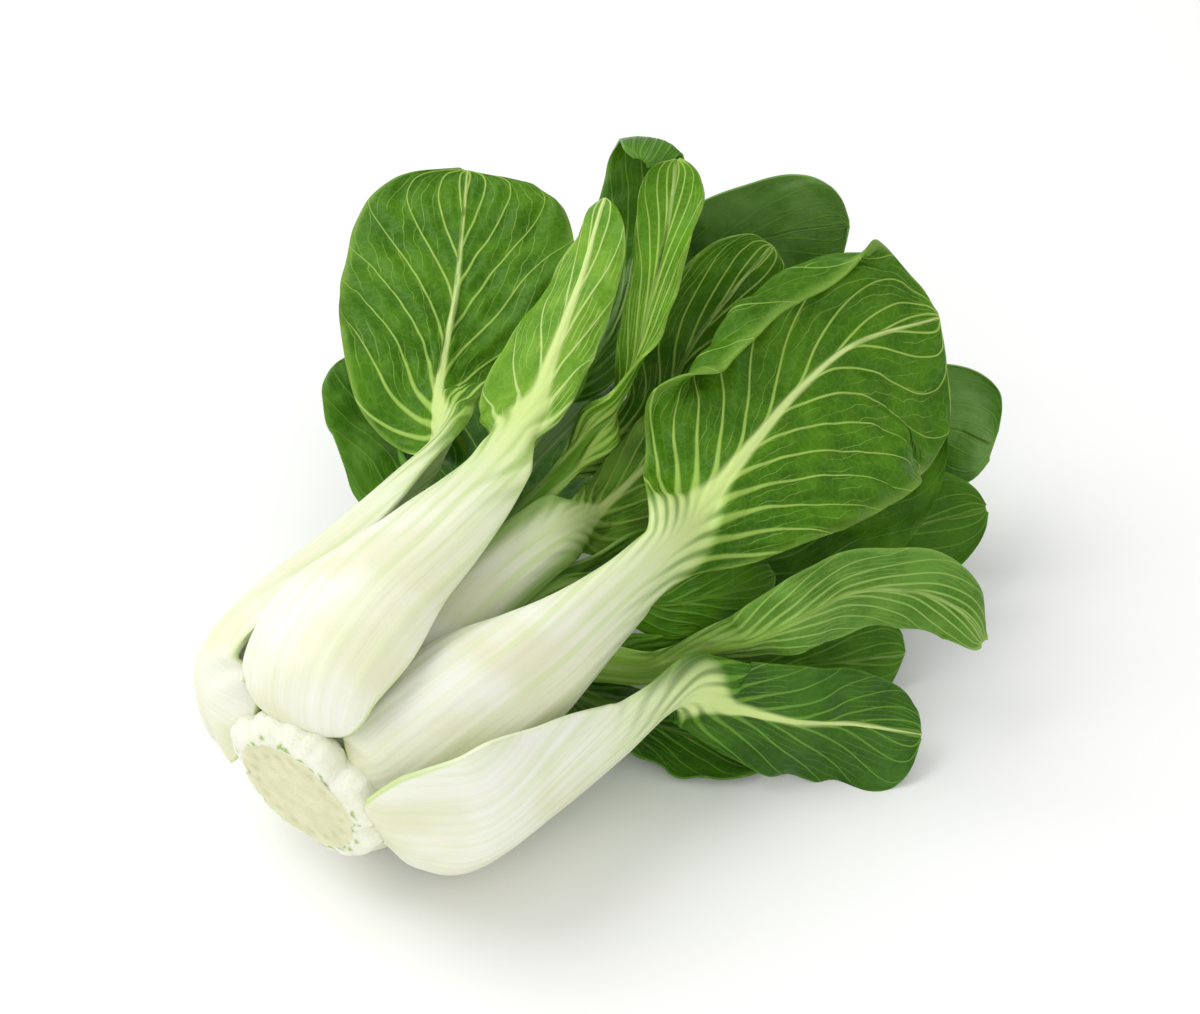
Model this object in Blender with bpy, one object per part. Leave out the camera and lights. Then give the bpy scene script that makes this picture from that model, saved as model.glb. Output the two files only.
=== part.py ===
"""Bok choy: one whole head lying on its side, a cut stem base and eighteen leaves.

Each leaf is one closed solid, its thick pale stalk and its thin blade grown together.
Lengths in the tables are millimetres. The head lies along +X, cut face at -X, on z = 0.
"""
import bpy
import numpy as np

MM = 0.001

# The plant's own axis: from the middle of the cut face toward the leaf tips.
FACE_CENTRE = np.array([-99.3, 2.4, 31.8])
AXIS_RISE = np.radians(9.0)
ALONG = np.array([np.cos(AXIS_RISE), 0.0, np.sin(AXIS_RISE)])
UPWARD = np.array([-np.sin(AXIS_RISE), 0.0, np.cos(AXIS_RISE)])
SIDEWAYS = np.array([0.0, -1.0, 0.0])

# Stem base: distance along the axis, radius, height of the knobs left by trimmed leaves.
STEM_SIDES = 28
STEM_RINGS = (
    (0.0, 0.0, 0.0), (0.0, 15.2, 0.0), (0.5, 16.2, 0.25), (1.6, 18.2, 0.7),
    (3.2, 18.6, 0.8), (4.6, 17.2, 0.4), (6.4, 12.0, 0.0), (8.2, 5.0, 0.0), (8.6, 0.0, 0.0),
)

# Colours, linear.
PALE = (0.76, 0.78, 0.52)
CUT = (0.70, 0.68, 0.44)
GREEN = (0.13, 0.30, 0.035)
DARK = (0.05, 0.16, 0.015)

ROUND = (0.30, 0.66, 0.90, 1.0, 0.95, 0.75, 0.51, 0.28)
FULL = (0.30, 0.70, 0.94, 1.0, 0.98, 0.88, 0.68, 0.44)


def around_axis(angle):
    """Unit vector square to the axis; 0 degrees is up, 90 is the -Y side."""
    turn = np.radians(angle)
    return UPWARD * np.cos(turn) + SIDEWAYS * np.sin(turn)


def stalk(along, out, angle):
    """A point of a stalk's middle, and the way its inner face looks."""
    away = around_axis(angle)
    return np.concatenate([FACE_CENTRE + ALONG * along + away * out, -away])


def blade(x, y, z, *face):
    """A point of a blade's midrib, and the way its inner face looks."""
    face = np.array(face)
    return np.concatenate([(x, y, z), face / np.linalg.norm(face)])


def leaf(name, path, neck, widths, **more):
    """One leaf. neck is the share of its length where the blade begins.

    widths are half widths at the base, the swelling, the neck and the blade.
    """
    row = {
        "name": name, "path": np.array(path), "neck": neck, "widths": widths,
        "outline": ROUND, "thick": 5.0, "blade_t": 1.0, "edge_t": 2.0, "middle": 0.6,
        "cup": (30, 34, 30, 10, 8, 8), "stalk_sides": (1.0, 1.0), "sides": (1.0, 1.0),
        "folds": (), "wave": (1.0, 2, 0.0), "tip": 0.06, "rows": 19, "cols": 7, "colour": GREEN,
    }
    row.update(more)
    row.setdefault("neck_sides", row["stalk_sides"])
    return row


BIG = {"thick": 8.0, "rows": 22, "cols": 9, "colour": PALE}
INNER = {"thick": 3.5}

LEAVES = (
    # Outer whorl.
    leaf("leaf_top", (
        stalk(6, 20, 2), stalk(9, 29, 1), stalk(15, 34.5, 0), stalk(33, 37, -1),
        stalk(59, 33, -3), stalk(84, 27, -10), stalk(104, 27, -16),
        blade(12.7, 14.9, 76.5, 0.8, 0.1, -0.6), blade(29.7, 19.4, 86, 0.9, -0.1, -0.5),
        blade(45.7, 24.4, 97.5, 0.9, -0.1, -0.4),
    ), 0.60, (6, 21, 7.5, 15), stalk_sides=(0.88, 1.0), neck_sides=(1.1, 1.0), sides=(0.62, 1.3),
        cup=(34, 36, 34, 40, 44, 40),
        outline=(0.5, 0.75, 0.9, 1.0, 0.95, 0.76, 0.52, 0.3),
        outline_left=(0.85, 1.0, 0.9, 0.68, 0.52, 0.4, 0.3, 0.2), **BIG),
    leaf("leaf_right", (
        stalk(6, 18, 59), stalk(10, 21.5, 59), stalk(16, 27, 57), stalk(30, 33.5, 57),
        stalk(52, 36.5, 62), stalk(74, 36, 67), stalk(93, 36, 71),
        blade(8.7, -30.6, 57, 0.7, 0.4, -0.7), blade(26.2, -31.1, 62, 0.7, 0.4, -0.7),
        blade(46.7, -31.1, 65.5, 0.7, 0.4, -0.7), blade(66.7, -34.1, 68, 0.7, 0.4, -0.6),
        blade(86.7, -44.6, 67.5, 0.8, 0.3, -0.5),
    ), 0.52, (4.5, 22.5, 12.5, 36), stalk_sides=(1.0, 0.8), neck_sides=(1.0, 0.4),
        cup=(60, 74, 50, 16, 8, 8), cup_right=(44, 34, 20, 16, 8, 8),
        outline=(0.28, 0.64, 0.90, 1.0, 1.0, 0.97, 0.84, 0.6),
        outline_left=(0.2, 0.66, 0.92, 1.0, 0.88, 0.58, 0.32, 0.18),
        folds=((1, 0.60, 0.98, 0.58, 0.60, 0.22, -165),), **dict(BIG, cols=14)),
    leaf("leaf_floor", (
        stalk(6.8, 20.4, 119), stalk(10, 29, 117), stalk(17, 37, 115.5), stalk(38, 42.5, 112),
        stalk(58, 46.5, 111), stalk(76.5, 51, 105.7),
        blade(-12.4, -54.1, 22.6, 0.8, 0.5, -0.3), blade(-4.8, -65.9, 19, 0.8, 0.6, -0.3),
        blade(6.2, -75.1, 14, 0.7, 0.5, -0.4), blade(16.7, -87.6, 9, 0.5, 0.6, -0.7),
    ), 0.60, (11, 26, 11, 16.5), middle=0.62, stalk_sides=(0.7, 1.45), neck_sides=(1.1, 1.15),
        sides=(1.0, 0.8),
        cup=(55, 44, 26, 14, 10, 5), cup_right=(38, 38, 32, 14, 10, 5),
        outline=(0.4, 0.7, 0.9, 1.0, 1.0, 0.92, 0.72, 0.46),
        outline_left=(0.4, 0.75, 0.95, 1.0, 0.9, 0.72, 0.5, 0.32), **BIG),
    leaf("leaf_left", (
        stalk(5.5, 20, -71), stalk(7.5, 28, -72), stalk(12, 34, -72), stalk(26, 35.5, -68),
        stalk(50, 32.5, -60), stalk(73, 31, -64), stalk(93, 31, -68),
        blade(10.2, 47.9, 54.5, 0.6, 0.6, -0.6), blade(29.7, 57.9, 62, 0.6, 0.4, -0.7),
        blade(45.7, 67.9, 68, 0.6, 0.4, -0.7), blade(59.7, 76.9, 74.5, 0.4, 0.3, -0.9),
    ), 0.55, (6, 20, 8.5, 28.5), stalk_sides=(1.06, 1.2), neck_sides=(1.05, 0.95),
        cup=(40, 42, 30, 12, 6, 6), outline=FULL, **BIG),
    leaf("leaf_back", (
        stalk(6, 19.5, -125), stalk(10, 24.5, -125), stalk(15, 27.5, -125), stalk(30, 29, -125),
        stalk(52, 31.5, -120), stalk(75, 32, -117), stalk(92, 41, -111),
        blade(6.7, 58.9, 33, 0.1, 0.8, -0.5), blade(14.7, 69.4, 38, 0.3, 0.9, -0.4),
        blade(21.7, 78.4, 41.5, 0.4, 0.9, -0.3),
    ), 0.60, (5, 14.5, 8, 18), cup=(34, 40, 36, 20, 20, 20), **dict(BIG, thick=6.5)),
    leaf("leaf_under", (
        stalk(6.5, 19.5, 177), stalk(10, 24.5, 177), stalk(15, 28.5, 177), stalk(30, 33.2, 177),
        stalk(52, 30.5, 173), stalk(68, 32, 163),
        blade(-14.3, -33.6, 4.5, 0, 0, 1), blade(-10.3, -43.6, 3, 0, 0, 1),
        blade(-7.3, -52.1, 2.2, 0, 0, 1), blade(-4.8, -59.6, 1.4, 0, 0, 1),
    ), 0.62, (5, 13.5, 7, 12), cup=(56, 56, 36, 6, 0, 0), **BIG),
    # Middle whorl.
    leaf("leaf_mid_right", (
        stalk(9, 12, 30), stalk(15, 17, 30), stalk(32, 20.5, 30), stalk(58, 20, 30),
        stalk(82, 17, 40), blade(3.2, -5.1, 46, 0.7, 0.4, -0.6),
        blade(20.2, -8.6, 51.5, 0.7, 0.4, -0.7), blade(31.7, -13.6, 57.5, 0.7, 0.4, -0.6),
        blade(41.2, -18.1, 63, 0.7, 0.4, -0.6),
    ), 0.62, (4, 9.8, 8, 15), stalk_sides=(1.07, 1.0), sides=(1.0, 0.6), thick=6.0,
        cup=(30, 34, 30, 20, 14, 10)),
    leaf("leaf_front", (
        stalk(9, 12, 88), stalk(15, 17, 88), stalk(32, 20, 88.5), stalk(58, 24, 93),
        blade(-15.8, -32.6, 24.5, 0.8, 0.6, -0.2), blade(-8.3, -42.1, 30, 0.8, 0.6, -0.2),
        blade(-2.8, -50.6, 34, 0.8, 0.6, -0.2), blade(2.2, -60.1, 41.8, 0.8, 0.5, -0.3),
        blade(16.7, -66.1, 42.5, 0.8, 0.5, -0.3), blade(27.7, -76.6, 41, 0.7, 0.7, -0.2),
        blade(32.2, -86.6, 36, 0.4, 0.9, -0.3), blade(34.2, -92.1, 28, 0, 0.9, -0.5),
    ), 0.54, (4, 9.3, 4, 10.5), cup=(30, 34, 30, 14, 10, 10), rows=22),
    leaf("leaf_low_right", (
        stalk(9, 12, 146), stalk(15, 17, 146), stalk(32, 20.5, 144), stalk(58, 24, 132),
        stalk(80, 32, 122), blade(2.2, -44.6, 16, 0.7, 0.5, -0.4),
        blade(15.2, -54.6, 14, 0.7, 0.5, -0.4), blade(27.2, -63.6, 11.5, 0.7, 0.5, -0.4),
        blade(37.2, -70.1, 9, 0.7, 0.5, -0.4),
    ), 0.54, (5, 9.5, 5.6, 14), outline=(0.1, 0.4, 0.8, 1.0, 1.0, 0.85, 0.6, 0.36)),
    leaf("leaf_rest", (
        stalk(9, 12, -142), stalk(15, 17, -142), stalk(32, 20, -144), stalk(58, 20, -150),
        stalk(84, 22, -158), blade(1, 16, 7, 0, -0.2, 1), blade(22, 34, 5, 0, 0, 1),
        blade(42, 53, 2.6, 0, 0, 1), blade(58, 66, 1.4, 0, 0, 1), blade(70, 75, 1.0, 0, 0, 1),
    ), 0.56, (5, 9.5, 6, 22), cup=(30, 34, 30, 6, 3, 0)),
    leaf("leaf_far", (
        stalk(9, 12, -84), stalk(15, 17, -84), stalk(32, 21, -84), stalk(58, 21, -89),
        stalk(84, 19, -94), stalk(110, 17, -88), blade(66.7, 16.9, 59.5, -0.9, -0.4, 0.1),
        blade(77.2, 11.9, 66, -0.9, -0.4, 0.1), blade(88.2, 3.9, 70, -0.9, -0.5, 0.1),
        blade(100.2, -10.1, 72, -0.8, -0.6, 0.1),
    ), 0.60, (5, 10, 6, 16), outline=(0.2, 0.5, 0.8, 1.0, 1.0, 0.9, 0.7, 0.42)),
    leaf("leaf_high", (
        stalk(9, 12, -28), stalk(15, 17, -28), stalk(32, 20.5, -28), stalk(58, 19, -30),
        stalk(84, 18, -32), stalk(104, 19, -34), blade(38.7, 17.9, 63.5, -0.7, -0.2, 0.7),
        blade(57.7, 23.4, 76.5, -0.7, -0.1, 0.7), blade(66.2, 24.4, 90.5, -0.8, -0.2, 0.6),
        blade(67.2, 24.9, 101, -0.9, -0.3, -0.3), blade(57.7, 21.9, 102.5, 0.2, 0.5, -0.8),
    ), 0.52, (4, 9.6, 5, 13), cup=(30, 34, 30, 20, 20, 20), sides=(1.0, 0.75), tip=0.2,
        outline=(0.4, 0.6, 0.78, 0.95, 0.95, 0.76, 0.56, 0.4), rows=22, colour=DARK),
    # Inner whorl.
    leaf("leaf_low", (
        stalk(10, 7, -96), stalk(16, 10.5, -96), stalk(32, 11, -96), stalk(58, 10, -96),
        stalk(84, 8, -98), stalk(108, 5, -90), blade(33.7, 0.9, 52, -0.7, -0.4, 0.5),
        blade(46.7, -0.6, 64.5, -0.8, -0.5, 0.4), blade(59.2, -4.1, 75, -0.8, -0.6, 0.3),
        blade(70.2, -7.1, 82.5, -0.7, -0.6, 0.3),
    ), 0.56, (3, 5.5, 3.5, 17), cup=(30, 34, 30, 30, 26, 20), sides=(0.9, 1.0),
        outline=(0.2, 0.45, 0.8, 1.0, 0.98, 0.85, 0.6, 0.36), **INNER),
    leaf("leaf_heart", (
        stalk(11, 5.5, -12), stalk(17, 9, -12), stalk(34, 10.5, -12), stalk(60, 10, -10),
        stalk(86, 9, -6), stalk(106, 10, 2), blade(22.7, 0.9, 69, -0.7, 0.6, 0.3),
        blade(35.2, 4.4, 80, -0.7, 0, 0.7), blade(48.2, 8.4, 92.5, -0.7, -0.2, 0.7),
        blade(59.7, 13.9, 105, -0.7, -0.2, 0.7),
    ), 0.54, (3, 5.5, 3, 8), cup=(30, 34, 30, 30, 30, 20),
        outline=(0.5, 0.6, 0.6, 0.72, 0.92, 1.0, 0.84, 0.5), **INNER),
    leaf("leaf_behind", (
        stalk(11, 5.5, 60), stalk(17, 9, 60), stalk(34, 10.5, 62), stalk(60, 10, 72),
        stalk(84, 13, 114), stalk(104, 22, 109), blade(30.2, -35.6, 27, -0.7, -0.5, 0.5),
        blade(49.7, -39.6, 34, -0.7, -0.5, 0.5), blade(67.2, -43.6, 41, -0.7, -0.5, 0.5),
        blade(81.7, -47.6, 46, -0.7, -0.5, 0.5),
    ), 0.52, (3, 5.5, 4.8, 21), cup=(30, 34, 30, 20, 20, 20), colour=DARK, **INNER),
    leaf("leaf_round", (
        stalk(11, 5.5, 130), stalk(17, 9, 130), stalk(34, 10.5, 130), stalk(60, 13, 130),
        stalk(84, 21, 128), blade(32.2, -33.6, 13.5, -0.7, -0.5, 0.6),
        blade(53.2, -44.1, 16.5, -0.7, -0.5, 0.6), blade(66.2, -54.1, 20, -0.7, -0.5, 0.6),
        blade(80.2, -65.6, 22, -0.7, -0.5, 0.6),
    ), 0.52, (3, 5.5, 4, 17), colour=DARK, **INNER),
    leaf("leaf_drooping", (
        stalk(11, 5.5, -162), stalk(17, 9, -162), stalk(34, 9.5, -164), stalk(60, 9, -170),
        stalk(86, 9, 172), stalk(106, 11, 150), blade(57.2, -26.6, 21, -0.7, -0.5, 0.4),
        blade(77.2, -36.1, 28.5, -0.7, -0.5, 0.5), blade(88.7, -47.1, 32.5, -0.6, -0.6, 0.5),
        blade(92.7, -59.6, 30.5, -0.5, -0.7, 0.5),
    ), 0.56, (3, 5, 3.5, 18), cup=(30, 34, 30, 20, 20, 20), tip=0.2, colour=DARK,
        outline=(0.35, 0.7, 0.9, 1.0, 1.0, 0.92, 0.75, 0.5), **INNER),
    leaf("leaf_small", (
        stalk(13, 11, 58), stalk(20, 14.2, 58), stalk(40, 15, 58), stalk(60, 15.6, 63),
        stalk(80, 18, 84), blade(-7.3, -28.1, 36.5, 0.7, 0.5, -0.5),
        blade(-0.8, -36.1, 37.5, 0.7, 0.5, -0.5), blade(7.7, -40.6, 36, 0.7, 0.5, -0.5),
        blade(18.7, -44.1, 34.5, 0.7, 0.5, -0.5),
    ), 0.60, (1.5, 2.2, 2.2, 9), thick=2.4, edge_t=1.2, cup=(20, 20, 20, 10, 8, 8), rows=16),
)


def table(stations, values, u):
    """Smooth curve through a table, with no overshoot between its stations."""
    x = np.asarray(stations, float)
    y = np.asarray(values, float)
    h = np.diff(x)
    d = np.diff(y) / h
    m = np.zeros(len(x))
    m[0], m[-1] = d[0], d[-1]
    for i in range(1, len(x) - 1):
        if d[i - 1] * d[i] > 0:
            a, b = 2 * h[i] + h[i - 1], h[i] + 2 * h[i - 1]
            m[i] = (a + b) / (a / d[i - 1] + b / d[i])
    i = np.clip(np.searchsorted(x, u, side="right") - 1, 0, len(x) - 2)
    t = (u - x[i]) / h[i]
    s = 1 - t
    ends = s * s * (1 + 2 * t) * y[i] + t * t * (3 - 2 * t) * y[i + 1]
    return ends + h[i] * t * s * (s * m[i] - t * m[i + 1])


def ramp(x):
    """0 to 1 with soft ends."""
    x = np.clip(x, 0, 1)
    return x * x * (3 - 2 * x)


def curve(points, per_span=40):
    """Smooth curve through the points, and the length run at each of its steps."""
    p = np.vstack([2 * points[0] - points[1], points, 2 * points[-1] - points[-2]])
    t = np.linspace(0, 1, per_span, endpoint=False)[:, None]
    spans = []
    for a, b, c, d in zip(p, p[1:], p[2:], p[3:]):
        bend = (2 * a - 5 * b + 4 * c - d) * t ** 2 + (3 * b - a - 3 * c + d) * t ** 3
        spans.append(0.5 * (2 * b + (c - a) * t + bend))
    fine = np.vstack(spans + [points[-1:]])
    steps = np.linalg.norm(np.diff(fine[:, :3], axis=0), axis=1)
    return fine, np.concatenate([[0], np.cumsum(steps)])


def along_curve(fine, run, u):
    x = u * run[-1]
    return np.stack([np.interp(x, run, column) for column in fine.T], 1)


def in_blade(row, t):
    """Share of the leaf's length at share t of its blade."""
    return row["neck"] + (1 - row["neck"]) * t


def half_width(row, u, outline):
    n = row["neck"]
    base, swell, neck, wide = row["widths"]
    mid = row["middle"]
    stations = [0, 0.04 * n, 0.12 * n, 0.28 * n, 0.5 * n, 0.75 * n, n]
    stations += [in_blade(row, t) for t in (0.12, 0.28, 0.45, 0.62, 0.76, 0.88, 0.95, 0.985, 1.0)]
    values = [base + share * (swell - base) for share in (0, 0.45, 0.8, 1)]
    values += [neck + mid * (swell - neck), neck + 0.4 * mid * (swell - neck), neck]
    values += [neck + (wide - neck) * share for share in outline[:3]]
    values += [wide * share for share in outline[3:]] + [row["tip"] * wide]
    return table(stations, values, u)


def thickness(row, u, across, width):
    """Thick down the stalk and the midrib, thin over the blade."""
    n, thick, thin = row["neck"], row["thick"], row["blade_t"]
    stations = [0, 0.1 * n, 0.3 * n, 0.6 * n, n, in_blade(row, 0.25), in_blade(row, 0.6), 1.0]
    shares = [0.4, 0.92, 1.0, 0.8, 0.52, 0.3, 0.12, 0.0]
    extra = [thin if i > 4 else 0 for i in range(8)]
    middle = table(stations, [thick * s + e for s, e in zip(shares, extra)], u)
    neck = row["widths"][2]
    stations = [n, in_blade(row, 0.12), in_blade(row, 0.3), in_blade(row, 0.6), 1.0]
    rib = table(stations, [neck * s for s in (1, 0.75, 0.42, 0.2, 0.08)], np.maximum(u, n))
    rib = np.where(u < n, width, rib)
    edge = table([0, n, 1.0], [row["edge_t"], thin, thin], u)
    x = np.clip(np.abs(across) * width[:, None] / rib[:, None], 0, 1)
    return edge[:, None] + (middle - edge)[:, None] * (1 - x * x) ** 0.8


def section(row, u, across):
    """Offsets of the leaf's middle surface across each row, and its slope there."""
    n = row["neck"]
    steps = 48
    q = np.linspace(0, 1, steps + 1)
    at = [0, 0.3 * n, n, in_blade(row, 0.35), in_blade(row, 0.7), 1.0]
    x = np.zeros((len(u), len(across)))
    y = np.zeros_like(x)
    slope = np.zeros_like(x)
    for side in (-1, 1):
        cup = row["cup"] if side > 0 else row.get("cup_right", row["cup"])
        outline = row.get("outline_left", row["outline"]) if side > 0 else row["outline"]
        angle = np.radians(table(at, cup, u))[:, None] * q
        for which, start, end, first, last, spread, degrees in row["folds"]:
            if which == side:
                half = (end - start) / 2
                on = ramp((u - start) / half * 1.6) * ramp((end - u) / half * 1.6)
                begin = first + (last - first) * np.clip((u - start) / (end - start), 0, 1)
                angle += np.radians(degrees) * on[:, None] * ramp((q - begin[:, None]) / spread)
        shares = [row[key][side > 0] for key in ("stalk_sides", "neck_sides", "sides")]
        share = shares[0] + (shares[1] - shares[0]) * ramp((u - 0.3 * n) / (0.5 * n))
        share += (shares[2] - share) * ramp((u - 0.9 * n) / (0.12 * n))
        width = half_width(row, u, outline) * share
        run = []
        for part in (np.cos(angle), np.sin(angle)):
            total = np.cumsum((part[:, 1:] + part[:, :-1]) / 2, 1)
            run.append(np.hstack([np.zeros((len(u), 1)), total]) / steps * width[:, None])
        for j in np.where((across >= 0) if side > 0 else (across < 0))[0]:
            place = abs(across[j]) * steps
            i = min(int(place), steps - 1)
            rest = place - i
            x[:, j] = side * (run[0][:, i] * (1 - rest) + run[0][:, i + 1] * rest)
            y[:, j] = run[1][:, i] * (1 - rest) + run[1][:, i + 1] * rest
            slope[:, j] = side * (angle[:, i] * (1 - rest) + angle[:, i + 1] * rest)
    return x, y, slope


def leaf_surfaces(row, u, across):
    """Outer and inner surface of one leaf, as grids of points.

    A stalk's foot curves round the plant's axis, and the rest across its own path.
    """
    fine, run = curve(row["path"])
    here = along_curve(fine, run, u)
    step = 1e-3
    ahead = along_curve(fine, run, np.minimum(u + step, 1))[:, :3]
    tangent = ahead - along_curve(fine, run, np.maximum(u - step, 0))[:, :3]
    tangent /= np.linalg.norm(tangent, axis=1, keepdims=True)
    n = row["neck"]
    square = ramp(u / (0.4 * n))[:, None]
    face = here[:, 3:] - square * (here[:, 3:] * tangent).sum(1, keepdims=True) * tangent
    face /= np.linalg.norm(face, axis=1, keepdims=True)
    left = np.cross(tangent, face)
    left /= np.linalg.norm(left, axis=1, keepdims=True)
    x, y, slope = section(row, u, across)
    width = half_width(row, u, row["outline"])
    thick = thickness(row, u, across[None, :], width)[..., None]
    middle = here[:, None, :3] + left[:, None] * x[..., None] + face[:, None] * y[..., None]
    inward = left[:, None] * np.cos(slope)[..., None] + face[:, None] * np.sin(slope)[..., None]
    inward = np.cross(inward, tangent[:, None])
    inward /= np.linalg.norm(inward, axis=2, keepdims=True)
    size, count, start = row["wave"]
    turn = 2 * np.pi * count * u[:, None] / (1 - n)
    other = across[None, :] > 0
    wave = np.sin(turn + start + 1.7 * other) + 0.45 * np.sin(2.3 * turn + 2 * start + 2.9 * other)
    wave = wave * size * ramp((u - 0.9 * n) / (1 - n) / 0.35)[:, None] * np.abs(across) ** 2.5
    out = []
    for way in (-0.5, 0.5):
        grid = middle + inward * (wave[..., None] + way * thick)
        grid[..., 2] = np.maximum(grid[..., 2], 0.0)
        out.append(grid)
    return out


def leaf_solid(row):
    """Vertices and faces of the closed leaf."""
    t = np.linspace(0, 1, row["rows"])
    u = t - 0.45 * np.sin(2 * np.pi * t) / (2 * np.pi)
    across = np.linspace(-1, 1, row["cols"])
    outer, inner = leaf_surfaces(row, u, across)
    rows, cols = outer.shape[:2]
    points = np.vstack([outer.reshape(-1, 3), inner.reshape(-1, 3)])
    one = np.arange(rows * cols).reshape(rows, cols)
    two = one + rows * cols
    faces = []
    for i in range(rows - 1):
        for j in range(cols - 1):
            faces.append((one[i, j], one[i, j + 1], one[i + 1, j + 1], one[i + 1, j]))
            faces.append((two[i, j], two[i + 1, j], two[i + 1, j + 1], two[i, j + 1]))
        faces.append((one[i, 0], one[i + 1, 0], two[i + 1, 0], two[i, 0]))
        faces.append((one[i, -1], two[i, -1], two[i + 1, -1], one[i + 1, -1]))
    for j in range(cols - 1):
        faces.append((one[0, j], two[0, j], two[0, j + 1], one[0, j + 1]))
        faces.append((one[-1, j], one[-1, j + 1], two[-1, j + 1], two[-1, j]))
    return points, faces


def stem_solid():
    """The trimmed stem: flat cut face, knobbly collar, and a cone behind it."""
    turns = np.linspace(0, 2 * np.pi, STEM_SIDES, endpoint=False)
    knobs = 0.6 * np.cos(6 * turns + 0.4) + 0.4 * np.cos(11 * turns + 1.3)
    points, rings = [], []
    for along, radius, height in STEM_RINGS:
        centre = FACE_CENTRE + ALONG * along
        if radius == 0:
            rings.append([len(points)] * STEM_SIDES)
            points.append(centre)
            continue
        rings.append(list(range(len(points), len(points) + STEM_SIDES)))
        for turn, knob in zip(turns, knobs):
            away = UPWARD * np.cos(turn) + SIDEWAYS * np.sin(turn)
            points.append(centre + away * (radius + height * knob))
    faces = []
    for near, far in zip(rings, rings[1:]):
        for j in range(STEM_SIDES):
            k = (j + 1) % STEM_SIDES
            corners = (near[j], near[k], far[k], far[j])
            faces.append(tuple(dict.fromkeys(corners)))
    return np.array(points), faces


def outward(points, faces):
    """The same faces, all turned to look out of the solid."""
    total = 0.0
    for face in faces:
        a = points[face[0]]
        for b, c in zip(face[1:], face[2:]):
            total += np.dot(a, np.cross(points[b], points[c]))
    return faces if total > 0 else [tuple(reversed(face)) for face in faces]


def split_four_sided(faces):
    out = []
    for face in faces:
        out.append(tuple(face[:3]))
        if len(face) == 4:
            out.append((face[0], face[2], face[3]))
    return out


def material(name, colour, roughness):
    made = bpy.data.materials.new(name)
    made.use_nodes = True
    made.diffuse_color = (*colour, 1.0)
    shader = made.node_tree.nodes["Principled BSDF"]
    shader.inputs["Base Color"].default_value = (*colour, 1.0)
    shader.inputs["Roughness"].default_value = roughness
    shader.inputs["Metallic"].default_value = 0.0
    return made


def add_node(name, points, faces, colour, roughness):
    faces = outward(points, split_four_sided(faces))
    mesh = bpy.data.meshes.new(name)
    mesh.from_pydata([tuple(p) for p in (points * MM).tolist()], [], faces)
    mesh.validate()
    mesh.update()
    node = bpy.data.objects.new(name, mesh)
    bpy.context.scene.collection.objects.link(node)
    mesh.materials.append(material(name, colour, roughness))


def main():
    for old in list(bpy.data.objects):
        bpy.data.objects.remove(old, do_unlink=True)
    points, faces = stem_solid()
    add_node("stem_base", points, faces, CUT, 0.6)
    for row in LEAVES:
        points, faces = leaf_solid(row)
        add_node(row["name"], points, faces, row["colour"], 0.4)


main()
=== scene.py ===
"""Bok choy: a whole head lying on its side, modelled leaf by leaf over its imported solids.

The sidebar's Bok Choy panel lists one button for the stem, one for each whorl of leaves
and one for the stage. Lengths in the tables are millimetres.
"""
import math

import bpy
import numpy as np
from bpy.props import FloatProperty, FloatVectorProperty, PointerProperty
from bpy.types import Operator, Panel, PropertyGroup
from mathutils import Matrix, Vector


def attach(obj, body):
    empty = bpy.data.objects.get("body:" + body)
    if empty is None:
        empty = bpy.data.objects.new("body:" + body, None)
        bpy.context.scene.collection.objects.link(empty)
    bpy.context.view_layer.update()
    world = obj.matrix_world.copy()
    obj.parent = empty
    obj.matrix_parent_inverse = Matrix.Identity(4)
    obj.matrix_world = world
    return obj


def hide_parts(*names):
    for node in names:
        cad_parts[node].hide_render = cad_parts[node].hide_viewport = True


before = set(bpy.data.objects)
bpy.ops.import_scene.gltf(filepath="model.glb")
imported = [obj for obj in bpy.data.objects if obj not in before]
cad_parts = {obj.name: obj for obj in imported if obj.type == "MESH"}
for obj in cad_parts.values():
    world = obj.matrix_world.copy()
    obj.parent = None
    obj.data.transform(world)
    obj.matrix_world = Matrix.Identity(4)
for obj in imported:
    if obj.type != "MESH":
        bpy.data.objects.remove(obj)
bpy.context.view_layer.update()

bl_info = {
    "name": "Bok Choy",
    "version": (1, 0, 0),
    "blender": (4, 5, 0),
    "location": "3D View > Sidebar > Bok Choy",
    "description": "Builds a head of bok choy: cut stem, veined leaves and a plain stage",
    "category": "Object",
}

MM = 0.001

# The plant's own axis: from the middle of the cut face toward the leaf tips.
FACE_CENTRE = np.array([-99.3, 2.4, 31.8])
AXIS_RISE = np.radians(9.0)
ALONG = np.array([np.cos(AXIS_RISE), 0.0, np.sin(AXIS_RISE)])
UPWARD = np.array([-np.sin(AXIS_RISE), 0.0, np.cos(AXIS_RISE)])
SIDEWAYS = np.array([0.0, -1.0, 0.0])

# Blade outlines: shares of the blade's half width from its neck to its tip.
ROUND = (0.30, 0.66, 0.90, 1.0, 0.95, 0.75, 0.51, 0.28)
FULL = (0.30, 0.70, 0.94, 1.0, 0.98, 0.88, 0.68, 0.44)
# Waves of 1 mm along a blade's margin.
WAVES = 2


# ---- Shapes of the leaves ----

def around_axis(angle):
    """Unit vector square to the axis; 0 degrees is up, 90 is the -Y side."""
    turn = np.radians(angle)
    return UPWARD * np.cos(turn) + SIDEWAYS * np.sin(turn)


def on_stalk(along, out, angle):
    """A point of a stalk's middle, and the way its inner face looks."""
    away = around_axis(angle)
    return np.concatenate([FACE_CENTRE + ALONG * along + away * out, -away])


def on_blade(x, y, z, *face):
    """A point of a blade's midrib, and the way its inner face looks."""
    face = np.array(face)
    return np.concatenate([(x, y, z), face / np.linalg.norm(face)])


def middle_foot(angle):
    """The foot of a middle leaf's stalk, on the stem."""
    return (9, 12, angle), (15, 17, angle)


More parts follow.
